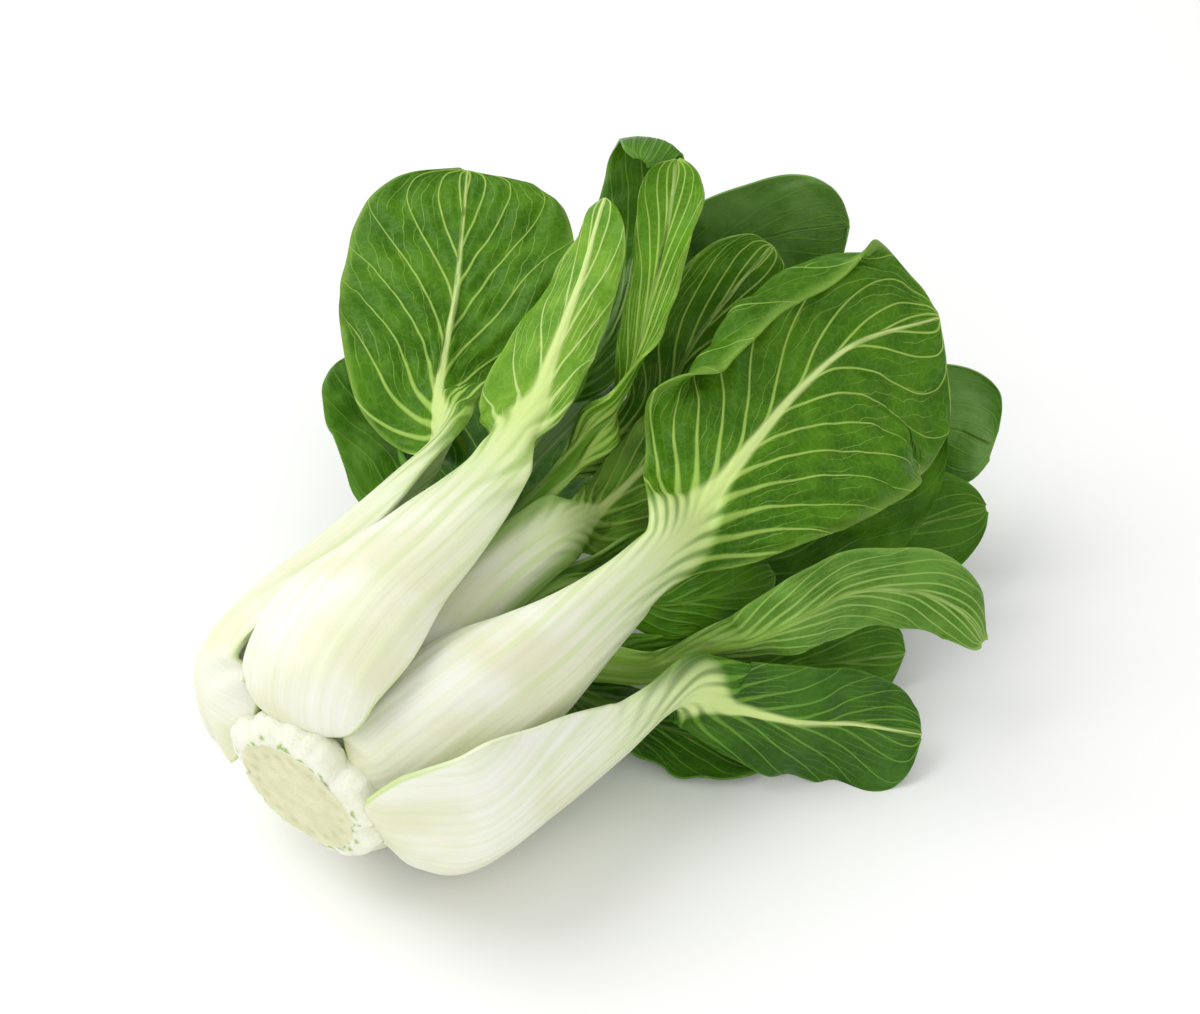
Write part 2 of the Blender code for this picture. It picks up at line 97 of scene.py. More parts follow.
def inner_foot(angle):
    """The foot of an inner leaf's stalk, on the stem's tip."""
    return (11, 5.5, angle), (17, 9, angle)


def leaf(name, neck, widths, stalk, blade, **more):
    """One leaf. neck is the share of its length where the blade begins.

    widths are half widths at the base, the swelling, the neck and the blade. The stalk's
    points are along and out from the plant's axis and degrees round it; the blade's are
    x, y, z and the way its inner face looks. Of a pair of sides, the second is the left
    one, seen from the leaf's outer face with its tip away.
    """
    path = [on_stalk(*point) for point in stalk] + [on_blade(*point) for point in blade]
    row = {
        "name": name, "path": np.array(path), "neck": neck, "widths": widths,
        "outline": ROUND, "thick": 5.0, "blade_t": 0.7, "edge_t": 1.4, "middle": 0.6,
        "cup": (30, 34, 30, 10, 8, 8), "stalk_sides": (1.0, 1.0), "sides": (1.0, 1.0),
        "folds": (), "tip": 0.06,
    }
    row.update(more)
    row.setdefault("neck_sides", row["stalk_sides"])
    return row


LEAVES = (
    # Outer whorl.
    leaf("leaf_top", 0.60, (6, 21, 7.5, 15), (
        (6, 20, 2), (9, 29, 1), (15, 34.5, 0), (33, 37, -1), (59, 33, -3), (84, 27, -10), (104, 27, -16)
    ), (
        (12.7, 14.9, 76.5, 0.8, 0.1, -0.6), (29.7, 19.4, 86, 0.9, -0.1, -0.5),
        (45.7, 24.4, 97.5, 0.9, -0.1, -0.4)
    ), stalk_sides=(0.88, 1.0), neck_sides=(1.1, 1.0), sides=(0.62, 1.3), cup=(34, 36, 34, 40, 44, 40),
        outline=(0.5, 0.75, 0.9, 1.0, 0.95, 0.76, 0.52, 0.3),
        outline_left=(0.85, 1.0, 0.9, 0.68, 0.52, 0.4, 0.3, 0.2), thick=8.0),
    leaf("leaf_right", 0.52, (4.5, 22.5, 12.5, 36), (
        (6, 18, 59), (10, 21.5, 59), (16, 27, 57), (30, 33.5, 57), (52, 36.5, 62), (74, 36, 67),
        (93, 36, 71)
    ), (
        (8.7, -30.6, 57, 0.7, 0.4, -0.7), (26.2, -31.1, 62, 0.7, 0.4, -0.7),
        (46.7, -31.1, 65.5, 0.7, 0.4, -0.7), (66.7, -34.1, 68, 0.7, 0.4, -0.6),
        (86.7, -44.6, 67.5, 0.8, 0.3, -0.5)
    ), stalk_sides=(1.0, 0.8), neck_sides=(1.0, 0.4), cup=(60, 74, 50, 16, 8, 8),
        cup_right=(44, 34, 20, 16, 8, 8), outline=(0.28, 0.64, 0.90, 1.0, 1.0, 0.97, 0.84, 0.6),
        outline_left=(0.2, 0.66, 0.92, 1.0, 0.88, 0.58, 0.32, 0.18),
        folds=((1, 0.60, 0.98, 0.58, 0.60, 0.22, -165),), thick=8.0),
    leaf("leaf_floor", 0.60, (11, 26, 11, 16.5), (
        (6.8, 20.4, 119), (10, 29, 117), (17, 37, 115.5), (38, 42.5, 112), (58, 46.5, 111),
        (76.5, 51, 105.7)
    ), (
        (-12.4, -54.1, 22.6, 0.8, 0.5, -0.3), (-4.8, -65.9, 19, 0.8, 0.6, -0.3),
        (6.2, -75.1, 14, 0.7, 0.5, -0.4), (16.7, -87.6, 9, 0.5, 0.6, -0.7)
    ), middle=0.62, stalk_sides=(0.7, 1.45), neck_sides=(1.1, 1.15), sides=(1.0, 0.8),
        cup=(55, 44, 26, 14, 10, 5), cup_right=(38, 38, 32, 14, 10, 5),
        outline=(0.4, 0.7, 0.9, 1.0, 1.0, 0.92, 0.72, 0.46),
        outline_left=(0.4, 0.75, 0.95, 1.0, 0.9, 0.72, 0.5, 0.32), thick=8.0),
    leaf("leaf_left", 0.55, (6, 20, 8.5, 28.5), (
        (5.5, 20, -71), (7.5, 28, -72), (12, 34, -72), (26, 35.5, -68), (50, 32.5, -60), (73, 31, -64),
        (93, 31, -68)
    ), (
        (10.2, 47.9, 54.5, 0.6, 0.6, -0.6), (29.7, 57.9, 62, 0.6, 0.4, -0.7),
        (45.7, 67.9, 68, 0.6, 0.4, -0.7), (59.7, 76.9, 74.5, 0.4, 0.3, -0.9)
    ), stalk_sides=(1.06, 1.2), neck_sides=(1.05, 0.95), cup=(40, 42, 30, 12, 6, 6), outline=FULL,
        thick=8.0),
    leaf("leaf_back", 0.60, (5, 14.5, 8, 18), (
        (6, 19.5, -125), (10, 24.5, -125), (15, 27.5, -125), (30, 29, -125), (52, 31.5, -120),
        (75, 32, -117), (92, 41, -111)
    ), (
        (6.7, 58.9, 33, 0.1, 0.8, -0.5), (14.7, 69.4, 38, 0.3, 0.9, -0.4),
        (21.7, 78.4, 41.5, 0.4, 0.9, -0.3)
    ), cup=(34, 40, 36, 20, 20, 20), thick=6.5),
    leaf("leaf_under", 0.62, (5, 13.5, 7, 12), (
        (6.5, 19.5, 177), (10, 24.5, 177), (15, 28.5, 177), (30, 33.2, 177), (52, 30.5, 173),
        (68, 32, 163)
    ), (
        (-14.3, -33.6, 4.5, 0, 0, 1), (-10.3, -43.6, 3, 0, 0, 1), (-7.3, -52.1, 2.2, 0, 0, 1),
        (-4.8, -59.6, 1.4, 0, 0, 1)
    ), cup=(56, 56, 36, 6, 0, 0), thick=8.0),
    # Middle whorl.
    leaf("leaf_mid_right", 0.62, (4, 9.8, 8, 15), (
        *middle_foot(30), (32, 20.5, 30), (58, 20, 30), (82, 17, 40)
    ), (
        (3.2, -5.1, 46, 0.7, 0.4, -0.6), (20.2, -8.6, 51.5, 0.7, 0.4, -0.7),
        (31.7, -13.6, 57.5, 0.7, 0.4, -0.6), (41.2, -18.1, 63, 0.7, 0.4, -0.6)
    ), stalk_sides=(1.07, 1.0), sides=(1.0, 0.6), thick=6.0, cup=(30, 34, 30, 20, 14, 10)),
    leaf("leaf_front", 0.54, (4, 9.3, 4, 10.5), (
        *middle_foot(88), (32, 20, 88.5), (58, 24, 93)
    ), (
        (-15.8, -32.6, 24.5, 0.8, 0.6, -0.2), (-8.3, -42.1, 30, 0.8, 0.6, -0.2),
        (-2.8, -50.6, 34, 0.8, 0.6, -0.2), (2.2, -60.1, 41.8, 0.8, 0.5, -0.3),
        (16.7, -66.1, 42.5, 0.8, 0.5, -0.3), (27.7, -76.6, 41, 0.7, 0.7, -0.2),
        (32.2, -86.6, 36, 0.4, 0.9, -0.3), (34.2, -92.1, 28, 0, 0.9, -0.5)
    ), cup=(30, 34, 30, 14, 10, 10)),
    leaf("leaf_low_right", 0.54, (5, 9.5, 5.6, 14), (
        *middle_foot(146), (32, 20.5, 144), (58, 24, 132), (80, 32, 122)
    ), (
        (2.2, -44.6, 16, 0.7, 0.5, -0.4), (15.2, -54.6, 14, 0.7, 0.5, -0.4),
        (27.2, -63.6, 11.5, 0.7, 0.5, -0.4), (37.2, -70.1, 9, 0.7, 0.5, -0.4)
    ), outline=(0.1, 0.4, 0.8, 1.0, 1.0, 0.85, 0.6, 0.36)),
    leaf("leaf_rest", 0.56, (5, 9.5, 6, 22), (
        *middle_foot(-142), (32, 20, -144), (58, 20, -150), (84, 22, -158)
    ), (
        (1, 16, 7, 0, -0.2, 1), (22, 34, 5, 0, 0, 1), (42, 53, 2.6, 0, 0, 1), (58, 66, 1.4, 0, 0, 1),
        (70, 75, 1.0, 0, 0, 1)
    ), cup=(30, 34, 30, 6, 3, 0)),
    leaf("leaf_far", 0.60, (5, 10, 6, 16), (
        *middle_foot(-84), (32, 21, -84), (58, 21, -89), (84, 19, -94), (110, 17, -88)
    ), (
        (66.7, 16.9, 59.5, -0.9, -0.4, 0.1), (77.2, 11.9, 66, -0.9, -0.4, 0.1),
        (88.2, 3.9, 70, -0.9, -0.5, 0.1), (100.2, -10.1, 72, -0.8, -0.6, 0.1)
    ), outline=(0.2, 0.5, 0.8, 1.0, 1.0, 0.9, 0.7, 0.42)),
    leaf("leaf_high", 0.52, (4, 9.6, 5, 13), (
        *middle_foot(-28), (32, 20.5, -28), (58, 19, -30), (84, 18, -32), (104, 19, -34)
    ), (
        (38.7, 17.9, 63.5, -0.7, -0.2, 0.7), (57.7, 23.4, 76.5, -0.7, -0.1, 0.7),
        (66.2, 24.4, 90.5, -0.8, -0.2, 0.6), (67.2, 24.9, 101, -0.9, -0.3, -0.3),
        (57.7, 21.9, 102.5, 0.2, 0.5, -0.8)
    ), cup=(30, 34, 30, 20, 20, 20), sides=(1.0, 0.75), tip=0.2,
        outline=(0.4, 0.6, 0.78, 0.95, 0.95, 0.76, 0.56, 0.4)),
    # Inner whorl.
    leaf("leaf_low", 0.56, (3, 5.5, 3.5, 17), (
        (10, 7, -96), (16, 10.5, -96), (32, 11, -96), (58, 10, -96), (84, 8, -98), (108, 5, -90)
    ), (
        (33.7, 0.9, 52, -0.7, -0.4, 0.5), (46.7, -0.6, 64.5, -0.8, -0.5, 0.4),
        (59.2, -4.1, 75, -0.8, -0.6, 0.3), (70.2, -7.1, 82.5, -0.7, -0.6, 0.3)
    ), cup=(30, 34, 30, 30, 26, 20), sides=(0.9, 1.0),
        outline=(0.2, 0.45, 0.8, 1.0, 0.98, 0.85, 0.6, 0.36), thick=3.5),
    leaf("leaf_heart", 0.54, (3, 5.5, 3, 8), (
        *inner_foot(-12), (34, 10.5, -12), (60, 10, -10), (86, 9, -6), (106, 10, 2)
    ), (
        (22.7, 0.9, 69, -0.7, 0.6, 0.3), (35.2, 4.4, 80, -0.7, 0, 0.7),
        (48.2, 8.4, 92.5, -0.7, -0.2, 0.7), (59.7, 13.9, 105, -0.7, -0.2, 0.7)
    ), cup=(30, 34, 30, 30, 30, 20), outline=(0.5, 0.6, 0.6, 0.72, 0.92, 1.0, 0.84, 0.5), thick=3.5),
    leaf("leaf_behind", 0.52, (3, 5.5, 4.8, 21), (
        *inner_foot(60), (34, 10.5, 62), (60, 10, 72), (84, 13, 114), (104, 22, 109)
    ), (
        (30.2, -35.6, 27, -0.7, -0.5, 0.5), (49.7, -39.6, 34, -0.7, -0.5, 0.5),
        (67.2, -43.6, 41, -0.7, -0.5, 0.5), (81.7, -47.6, 46, -0.7, -0.5, 0.5)
    ), cup=(30, 34, 30, 20, 20, 20), thick=3.5),
    leaf("leaf_round", 0.52, (3, 5.5, 4, 17), (
        *inner_foot(130), (34, 10.5, 130), (60, 13, 130), (84, 21, 128)
    ), (
        (32.2, -33.6, 13.5, -0.7, -0.5, 0.6), (53.2, -44.1, 16.5, -0.7, -0.5, 0.6),
        (66.2, -54.1, 20, -0.7, -0.5, 0.6), (80.2, -65.6, 22, -0.7, -0.5, 0.6)
    ), thick=3.5),
    leaf("leaf_drooping", 0.56, (3, 5, 3.5, 18), (
        *inner_foot(-162), (34, 9.5, -164), (60, 9, -170), (86, 9, 172), (106, 11, 150)
    ), (
        (57.2, -26.6, 21, -0.7, -0.5, 0.4), (77.2, -36.1, 28.5, -0.7, -0.5, 0.5),
        (88.7, -47.1, 32.5, -0.6, -0.6, 0.5), (92.7, -59.6, 30.5, -0.5, -0.7, 0.5)
    ), cup=(30, 34, 30, 20, 20, 20), tip=0.2, outline=(0.35, 0.7, 0.9, 1.0, 1.0, 0.92, 0.75, 0.5),
        thick=3.5),
    leaf("leaf_small", 0.60, (1.5, 2.2, 2.2, 9), (
        (13, 11, 58), (20, 14.2, 58), (40, 15, 58), (60, 15.6, 63), (80, 18, 84)
    ), (
        (-7.3, -28.1, 36.5, 0.7, 0.5, -0.5), (-0.8, -36.1, 37.5, 0.7, 0.5, -0.5),
        (7.7, -40.6, 36, 0.7, 0.5, -0.5), (18.7, -44.1, 34.5, 0.7, 0.5, -0.5)
    ), thick=2.4, edge_t=1.2, cup=(20, 20, 20, 10, 8, 8)),
)


def table(stations, values, u):
    """Smooth curve through a table, with no overshoot between its stations."""
    x = np.asarray(stations, float)
    y = np.asarray(values, float)
    h = np.diff(x)
    d = np.diff(y) / h
    m = np.zeros(len(x))
    m[0], m[-1] = d[0], d[-1]
    for i in range(1, len(x) - 1):
        if d[i - 1] * d[i] > 0:
            a, b = 2 * h[i] + h[i - 1], h[i] + 2 * h[i - 1]
            m[i] = (a + b) / (a / d[i - 1] + b / d[i])
    i = np.clip(np.searchsorted(x, u, side="right") - 1, 0, len(x) - 2)
    t = (u - x[i]) / h[i]
    s = 1 - t
    ends = s * s * (1 + 2 * t) * y[i] + t * t * (3 - 2 * t) * y[i + 1]
    return ends + h[i] * t * s * (s * m[i] - t * m[i + 1])


def ramp(x):
    """0 to 1 with soft ends."""
    x = np.clip(x, 0, 1)
    return x * x * (3 - 2 * x)


def curve(points, per_span=40):
    """Smooth curve through the points, and the length run at each of its steps."""
    p = np.vstack([2 * points[0] - points[1], points, 2 * points[-1] - points[-2]])
    t = np.linspace(0, 1, per_span, endpoint=False)[:, None]
    spans = []
    for a, b, c, d in zip(p, p[1:], p[2:], p[3:]):
        bend = (2 * a - 5 * b + 4 * c - d) * t ** 2 + (3 * b - a - 3 * c + d) * t ** 3
        spans.append(0.5 * (2 * b + (c - a) * t + bend))
    fine = np.vstack(spans + [points[-1:]])
    steps = np.linalg.norm(np.diff(fine[:, :3], axis=0), axis=1)
    return fine, np.concatenate([[0], np.cumsum(steps)])


def along_curve(fine, run, u):
    x = u * run[-1]
    return np.stack([np.interp(x, run, column) for column in fine.T], 1)


def in_blade(row, t):
    """Share of the leaf's length at share t of its blade."""
    return row["neck"] + (1 - row["neck"]) * t


def half_width(row, u, outline):
    n = row["neck"]
    base, swell, neck, wide = row["widths"]
    mid = row["middle"]
    stations = [0, 0.04 * n, 0.12 * n, 0.28 * n, 0.5 * n, 0.75 * n, n]
    stations += [in_blade(row, t) for t in (0.12, 0.28, 0.45, 0.62, 0.76, 0.88, 0.95, 0.985, 1.0)]
    values = [base + share * (swell - base) for share in (0, 0.45, 0.8, 1)]
    values += [neck + mid * (swell - neck), neck + 0.4 * mid * (swell - neck), neck]
    values += [neck + (wide - neck) * share for share in outline[:3]]
    values += [wide * share for share in outline[3:]] + [row["tip"] * wide]
    return table(stations, values, u)


def thickness(row, u, across, width):
    """Thick down the stalk and the midrib, thin over the blade."""
    n, thick, thin = row["neck"], row["thick"], row["blade_t"]
    stations = [0, 0.1 * n, 0.3 * n, 0.6 * n, n, in_blade(row, 0.25), in_blade(row, 0.6), 1.0]
    shares = [0.4, 0.92, 1.0, 0.8, 0.52, 0.3, 0.12, 0.0]
    extra = [thin if i > 4 else 0 for i in range(8)]
    middle = table(stations, [thick * s + e for s, e in zip(shares, extra)], u)
    neck = row["widths"][2]
    stations = [n, in_blade(row, 0.12), in_blade(row, 0.3), in_blade(row, 0.6), 1.0]
    rib = table(stations, [neck * s for s in (1, 0.75, 0.42, 0.2, 0.08)], np.maximum(u, n))
    rib = np.where(u < n, width, rib)
    edge = table([0, n, 1.0], [row["edge_t"], thin, thin], u)
    x = np.clip(np.abs(across) * width[:, None] / rib[:, None], 0, 1)
    return edge[:, None] + (middle - edge)[:, None] * (1 - x * x) ** 0.8


def side_width(row, u, side):
    """Half width of one side of a leaf at each u; side is -1 or 1."""
    n = row["neck"]
    outline = row.get("outline_left", row["outline"]) if side > 0 else row["outline"]
    swell, neck, wide = (row[key][side > 0] for key in ("stalk_sides", "neck_sides", "sides"))
    share = swell + (neck - swell) * ramp((u - 0.3 * n) / (0.5 * n))
    share += (wide - share) * ramp((u - 0.9 * n) / (0.12 * n))
    return half_width(row, u, outline) * share


def on_side(across, side):
    """Which columns lie on one side of the midrib; the midrib itself goes with side 1."""
    return across >= 0 if side > 0 else across < 0


def section(row, u, across):
    """Offsets of the leaf's middle surface across each row, and its slope there."""
    n = row["neck"]
    steps = 48
    q = np.linspace(0, 1, steps + 1)
    at = [0, 0.3 * n, n, in_blade(row, 0.35), in_blade(row, 0.7), 1.0]
    x = np.zeros((len(u), len(across)))
    y = np.zeros_like(x)
    slope = np.zeros_like(x)
    for side in (-1, 1):
        cup = row["cup"] if side > 0 else row.get("cup_right", row["cup"])
        angle = np.radians(table(at, cup, u))[:, None] * q
        for which, start, end, first, last, spread, degrees in row["folds"]:
            if which == side:
                half = (end - start) / 2
                on = ramp((u - start) / half * 1.6) * ramp((end - u) / half * 1.6)
                begin = first + (last - first) * np.clip((u - start) / (end - start), 0, 1)
                angle += np.radians(degrees) * on[:, None] * ramp((q - begin[:, None]) / spread)
        width = side_width(row, u, side)
        run = []
        for part in (np.cos(angle), np.sin(angle)):
            total = np.cumsum((part[:, 1:] + part[:, :-1]) / 2, 1)
            run.append(np.hstack([np.zeros((len(u), 1)), total]) / steps * width[:, None])
        pick = on_side(across, side)
        place = np.abs(across[pick]) * steps
        i = np.minimum(place.astype(int), steps - 1)
        rest = place - i
        for grid, values, way in ((x, run[0], side), (y, run[1], 1), (slope, angle, side)):
            grid[:, pick] = way * (values[:, i] * (1 - rest) + values[:, i + 1] * rest)
    return x, y, slope


def leaf_surfaces(row, u, across):
    """Outer and inner surface of one leaf, as grids of points.

    A stalk's foot curves round the plant's axis, and the rest across its own path.
    """
    fine, run = curve(row["path"])
    here = along_curve(fine, run, u)
    step = 1e-3
    ahead = along_curve(fine, run, np.minimum(u + step, 1))[:, :3]
    tangent = ahead - along_curve(fine, run, np.maximum(u - step, 0))[:, :3]
    tangent /= np.linalg.norm(tangent, axis=1, keepdims=True)
    n = row["neck"]
    square = ramp(u / (0.4 * n))[:, None]
    face = here[:, 3:] - square * (here[:, 3:] * tangent).sum(1, keepdims=True) * tangent
    face /= np.linalg.norm(face, axis=1, keepdims=True)
    left = np.cross(tangent, face)
    left /= np.linalg.norm(left, axis=1, keepdims=True)
    x, y, slope = section(row, u, across)
    width = half_width(row, u, row["outline"])
    thick = thickness(row, u, across[None, :], width)[..., None]
    middle = here[:, None, :3] + left[:, None] * x[..., None] + face[:, None] * y[..., None]
    inward = left[:, None] * np.cos(slope)[..., None] + face[:, None] * np.sin(slope)[..., None]
    inward = np.cross(inward, tangent[:, None])
    inward /= np.linalg.norm(inward, axis=2, keepdims=True)
    turn = 2 * np.pi * WAVES * u[:, None] / (1 - n)
    other = across[None, :] > 0
    wave = np.sin(turn + 1.7 * other) + 0.45 * np.sin(2.3 * turn + 2.9 * other)
    wave = wave * ramp((u - 0.9 * n) / (1 - n) / 0.35)[:, None] * np.abs(across) ** 2.5
    out = []
    for way in (-0.5, 0.5):
        grid = middle + inward * (wave[..., None] + way * thick)
        grid[..., 2] = np.maximum(grid[..., 2], 0.0)
        out.append(grid)
    return out


# ---- Looks of the leaves ----

# Colours, linear.
FRESH = (0.070, 0.200, 0.002)
MID = (0.040, 0.140, 0.001)
SHADE = (0.024, 0.092, 0.001)
LIVELY = (0.090, 0.255, 0.003)
BRIGHT_VEIN = (0.36, 0.55, 0.10)
# Vein colour dimmed as painted shade, for the leaves that lie in the head's shade.
SHADED_VEIN = (0.14, 0.31, 0.03)
# Neck colour greened and darkened as painted shade, for the stalks of leaves deep in the head.
SHADED_NECK_GREEN = (0.13, 0.30, 0.02)
# Beige of the stalk's base: partly the flesh's own tone, partly painted shade on the lower belly.
WARM_FLESH_AND_SHADE = (0.78, 0.78, 0.54)
STREAK_GREEN = (0.57, 0.72, 0.27)

# Side veins: where the first leaves the midrib, how far each climbs on its way to the
# margin, how that climb bends, how much one side's veins lag the other's, how much they
# wander and, in millimetres, how wide they are painted.
VEIN_FIRST = -0.46
VEIN_LEAN = 0.60
VEIN_BEND = 0.68
VEIN_STAGGER = 0.35
VEIN_WANDER = 0.14
VEIN_GIRTH = 0.34

# The midrib's pale paint, as shares of the neck's half width along the blade.
RIB_AT = (-0.4, -0.1, 0.02, 0.1, 0.2, 0.45, 0.8, 1.0)
RIB_SHARES = (2.8, 1.0, 0.6, 0.32, 0.15, 0.08, 0.04)
RIB_TIP = 0.15

# How wide a raised vein is, and the dip beside it.
VEIN_RIDGE = 0.9
VEIN_DIP = 2.6

# Meshing: the step between rows, and the most rows and half columns of one leaf.
MESH_STEP = 0.55
MOST_ROWS = 260
MOST_COLUMNS = 85
# The least height of the skin over the surface that the head lies on.
FLOOR_SKIM = 0.02

# Leaves are flattened onto a map: one unit of it is this many millimetres.
MAP_SPAN = 100.0


def look(green, deep, *shared, **more):
    """How one leaf is dressed: blade colours, veins and the swell between the veins."""
    row = {
        "green": green, "deep": deep, "vein": BRIGHT_VEIN, "veins": 6, "vein_raise": 0.35,
        "pucker": 0.8, "ruffle": 0.6, "rough": 0.42, "coat": 0.02, "fine": 1.0, "pale": 1.0,
        "rim_from": 0.9, "rim_green": 0.0, "neck": None, "greens_at": 0.5,
    }
    for extra in shared:
        row.update(extra)
    row.update(more)
    return row


# Painted shade for leaves deep in the head: dim veins, and stalks dark green almost from their foot.
PAINTED_SHADE_INSIDE = {"vein": SHADED_VEIN, "neck": SHADED_NECK_GREEN, "greens_at": 0.1}
# Painted shade: these leaves' stalks take the dark neck green from low down.
PAINTED_SHADE_NECK = {"neck": SHADED_NECK_GREEN, "greens_at": 0.15}
GLOSSY = {"rough": 0.3, "coat": 0.35}

LOOKS = {
    "leaf_top": look((0.17, 0.36, 0.02), (0.09, 0.25, 0.006), vein=(0.50, 0.66, 0.20),
                     veins=4, pale=2.2, pucker=0.6),
    "leaf_right": look(FRESH, MID, veins=7, fine=1.6, pucker=1.7, ruffle=0.5, pale=1.1),
    "leaf_floor": look(MID, SHADE, vein=SHADED_VEIN, rough=0.32, coat=0.15, rim_from=0.96,
                       pucker=0.9, fine=1.2),
    "leaf_left": look(FRESH, MID, fine=1.3, pucker=1.4),
    "leaf_back": look((0.10, 0.24, 0.02), MID, vein=SHADED_VEIN, pucker=0.9),
    "leaf_under": look(MID, SHADE, PAINTED_SHADE_INSIDE),
    "leaf_mid_right": look((0.17, 0.38, 0.03), MID, rim_from=0.12, rim_green=0.9),
    "leaf_front": look((0.12, 0.27, 0.03), (0.07, 0.19, 0.012), vein=(0.30, 0.48, 0.10),
                       neck=(0.28, 0.48, 0.07), greens_at=0.15, veins=7, fine=1.2, ruffle=1.0),
    "leaf_low_right": look(FRESH, MID, PAINTED_SHADE_INSIDE),
    "leaf_rest": look(MID, SHADE, PAINTED_SHADE_INSIDE),
    # Painted sheen: this leaf's greens are lightened and greyed to stand in for its glossy reflection.
    "leaf_far": look((0.16, 0.30, 0.07), (0.08, 0.20, 0.02), PAINTED_SHADE_NECK, GLOSSY, vein=SHADED_VEIN,
                     vein_raise=0.25, fine=1.2, pucker=0.6),
    "leaf_high": look(FRESH, MID, PAINTED_SHADE_NECK, vein=SHADED_VEIN, rough=0.3, coat=0.25,
                      vein_raise=0.25),
    "leaf_low": look(FRESH, MID, PAINTED_SHADE_NECK, vein_raise=0.25),
    "leaf_heart": look((0.11, 0.30, 0.005), FRESH, PAINTED_SHADE_NECK),
    "leaf_behind": look(LIVELY, MID, PAINTED_SHADE_INSIDE),
    "leaf_round": look(FRESH, MID, PAINTED_SHADE_INSIDE),
    # Painted sheen: this leaf's greens are lightened and greyed to stand in for its glossy reflection.
    "leaf_drooping": look((0.15, 0.32, 0.05), (0.06, 0.18, 0.01), PAINTED_SHADE_INSIDE, GLOSSY),
    "leaf_small": look(LIVELY, MID, PAINTED_SHADE_INSIDE),
}


def ripple(x, y, size, seed, count=9):
    """Smooth unevenness with swells about size wide, between -1 and 1."""
    rng = np.random.default_rng(seed)
    total = np.zeros(np.broadcast(x, y).shape)
    for _ in range(count):
        way = rng.uniform(0, 2 * np.pi)
        wide = size * rng.uniform(0.7, 1.5)
        shift = rng.uniform(0, 2 * np.pi)
        total += np.sin(2 * np.pi * (x * np.cos(way) + y * np.sin(way)) / wide + shift)
    return total / np.sqrt(count * 2)


def vein_field(dress, x, y, reach, t):
    """Side veins as a smooth count, whole on each vein, and the millimetres to one count."""
    lean = VEIN_LEAN * (reach + 0.004) ** VEIN_BEND
    count = dress["veins"] * (t - lean - VEIN_FIRST)
    count = count + VEIN_STAGGER * (x > 0) + VEIN_WANDER * ripple(x, y, 34, dress["seed"] + 40)
    per_col = np.gradient(x, axis=1)
    slope_x = np.gradient(count, axis=1) / np.maximum(per_col, 1e-3)
    slope_y = np.gradient(count, axis=0) - slope_x * np.gradient(x, axis=0)
    slope_y = slope_y / np.gradient(y, axis=0)
    return count, 1 / np.maximum(np.hypot(slope_x, slope_y), 1e-3)


def leaf_masks(row, dress, u, across, length):
    """Everything the skin needs at each point of a leaf's grid, with the flat position."""
    n = row["neck"]
    half = np.zeros((len(u), len(across)))
    for side in (-1, 1):
        half[:, on_side(across, side)] = side_width(row, u, side)[:, None]
    x = half * across[None]
    y = np.broadcast_to((u * length)[:, None], x.shape)
    t = ((u - n) / (1 - n))[:, None]
    reach = np.abs(across)[None, :] * np.ones_like(x)
    count, gap = vein_field(dress, x, y, reach, t)
    apart = np.abs(count - np.rint(count)) * gap

    # Pale flesh: the whole stalk, then ever less of the blade beside the midrib.
    neck = row["widths"][2]
    rib = [neck * share for share in RIB_SHARES] + [RIB_TIP]
    rib = table(RIB_AT, rib, np.clip(t, RIB_AT[0], 1)) * dress["pale"]
    spread = ramp((t + 0.3 + 0.2 * reach ** 2) / 0.32)
    inside = 1 - ramp((np.abs(x) / rib - 0.55) / 0.75)
    stalky = np.clip((1 - spread) + spread * inside, 0, 1)

    # Veins: ropes where they leave the stalk, thinning toward the margin and the tip.
    in_leaf = ramp((t + 0.2 + 0.2 * reach) / 0.26)
    tipward = np.clip(1 - t, 0, 1)
    ropes = 1 + 2.4 * (1 - ramp((t + 0.05) / 0.4))
    girth = 0.5 + 1.3 * (1 - reach) ** 1.3 * (0.35 + 0.65 * tipward)
    girth = girth * VEIN_GIRTH * ropes * in_leaf
    nearest = np.minimum(apart, np.abs(x))
    raised = np.exp(-(nearest / VEIN_RIDGE) ** 2) * in_leaf
    swell = (1 - np.exp(-(nearest / VEIN_DIP) ** 2)) * in_leaf * (1 - 0.8 * stalky)
    rim = ramp((reach - dress["rim_from"]) / (1 - dress["rim_from"]))
    along = u[:, None] * np.ones_like(x) / n
    masks = {"count": count, "gap": gap, "girth": girth, "reach": reach, "half": half,
             "stalk": stalky, "swell": swell, "rim": rim, "along": along}
    return x, y, in_leaf, raised, masks


def grid_normals(outer, inner):
    """Outward direction at each point of a grid: from the inner surface to the outer."""
    middle = (outer + inner) / 2
    normal = np.cross(np.gradient(middle, axis=0), np.gradient(middle, axis=1))
    normal /= np.maximum(np.linalg.norm(normal, axis=2, keepdims=True), 1e-9)
    facing = ((outer - inner) * normal).sum(2)
    return normal * np.sign(facing.sum())


def stalk_ridges(dress, x, u):
    """Fine lengthwise ribs of a stalk: three sets, by their spacing and height."""
    rng = np.random.default_rng(dress["seed"] + 90)
    total = np.zeros_like(x)
    for wide, height in ((7.0, 0.10), (3.6, 0.06), (1.9, 0.03)):
        shift = rng.uniform(0, 6.28)
        total += height * np.sin(2 * np.pi * x / wide + shift + 2.0 * u[:, None])
    return total


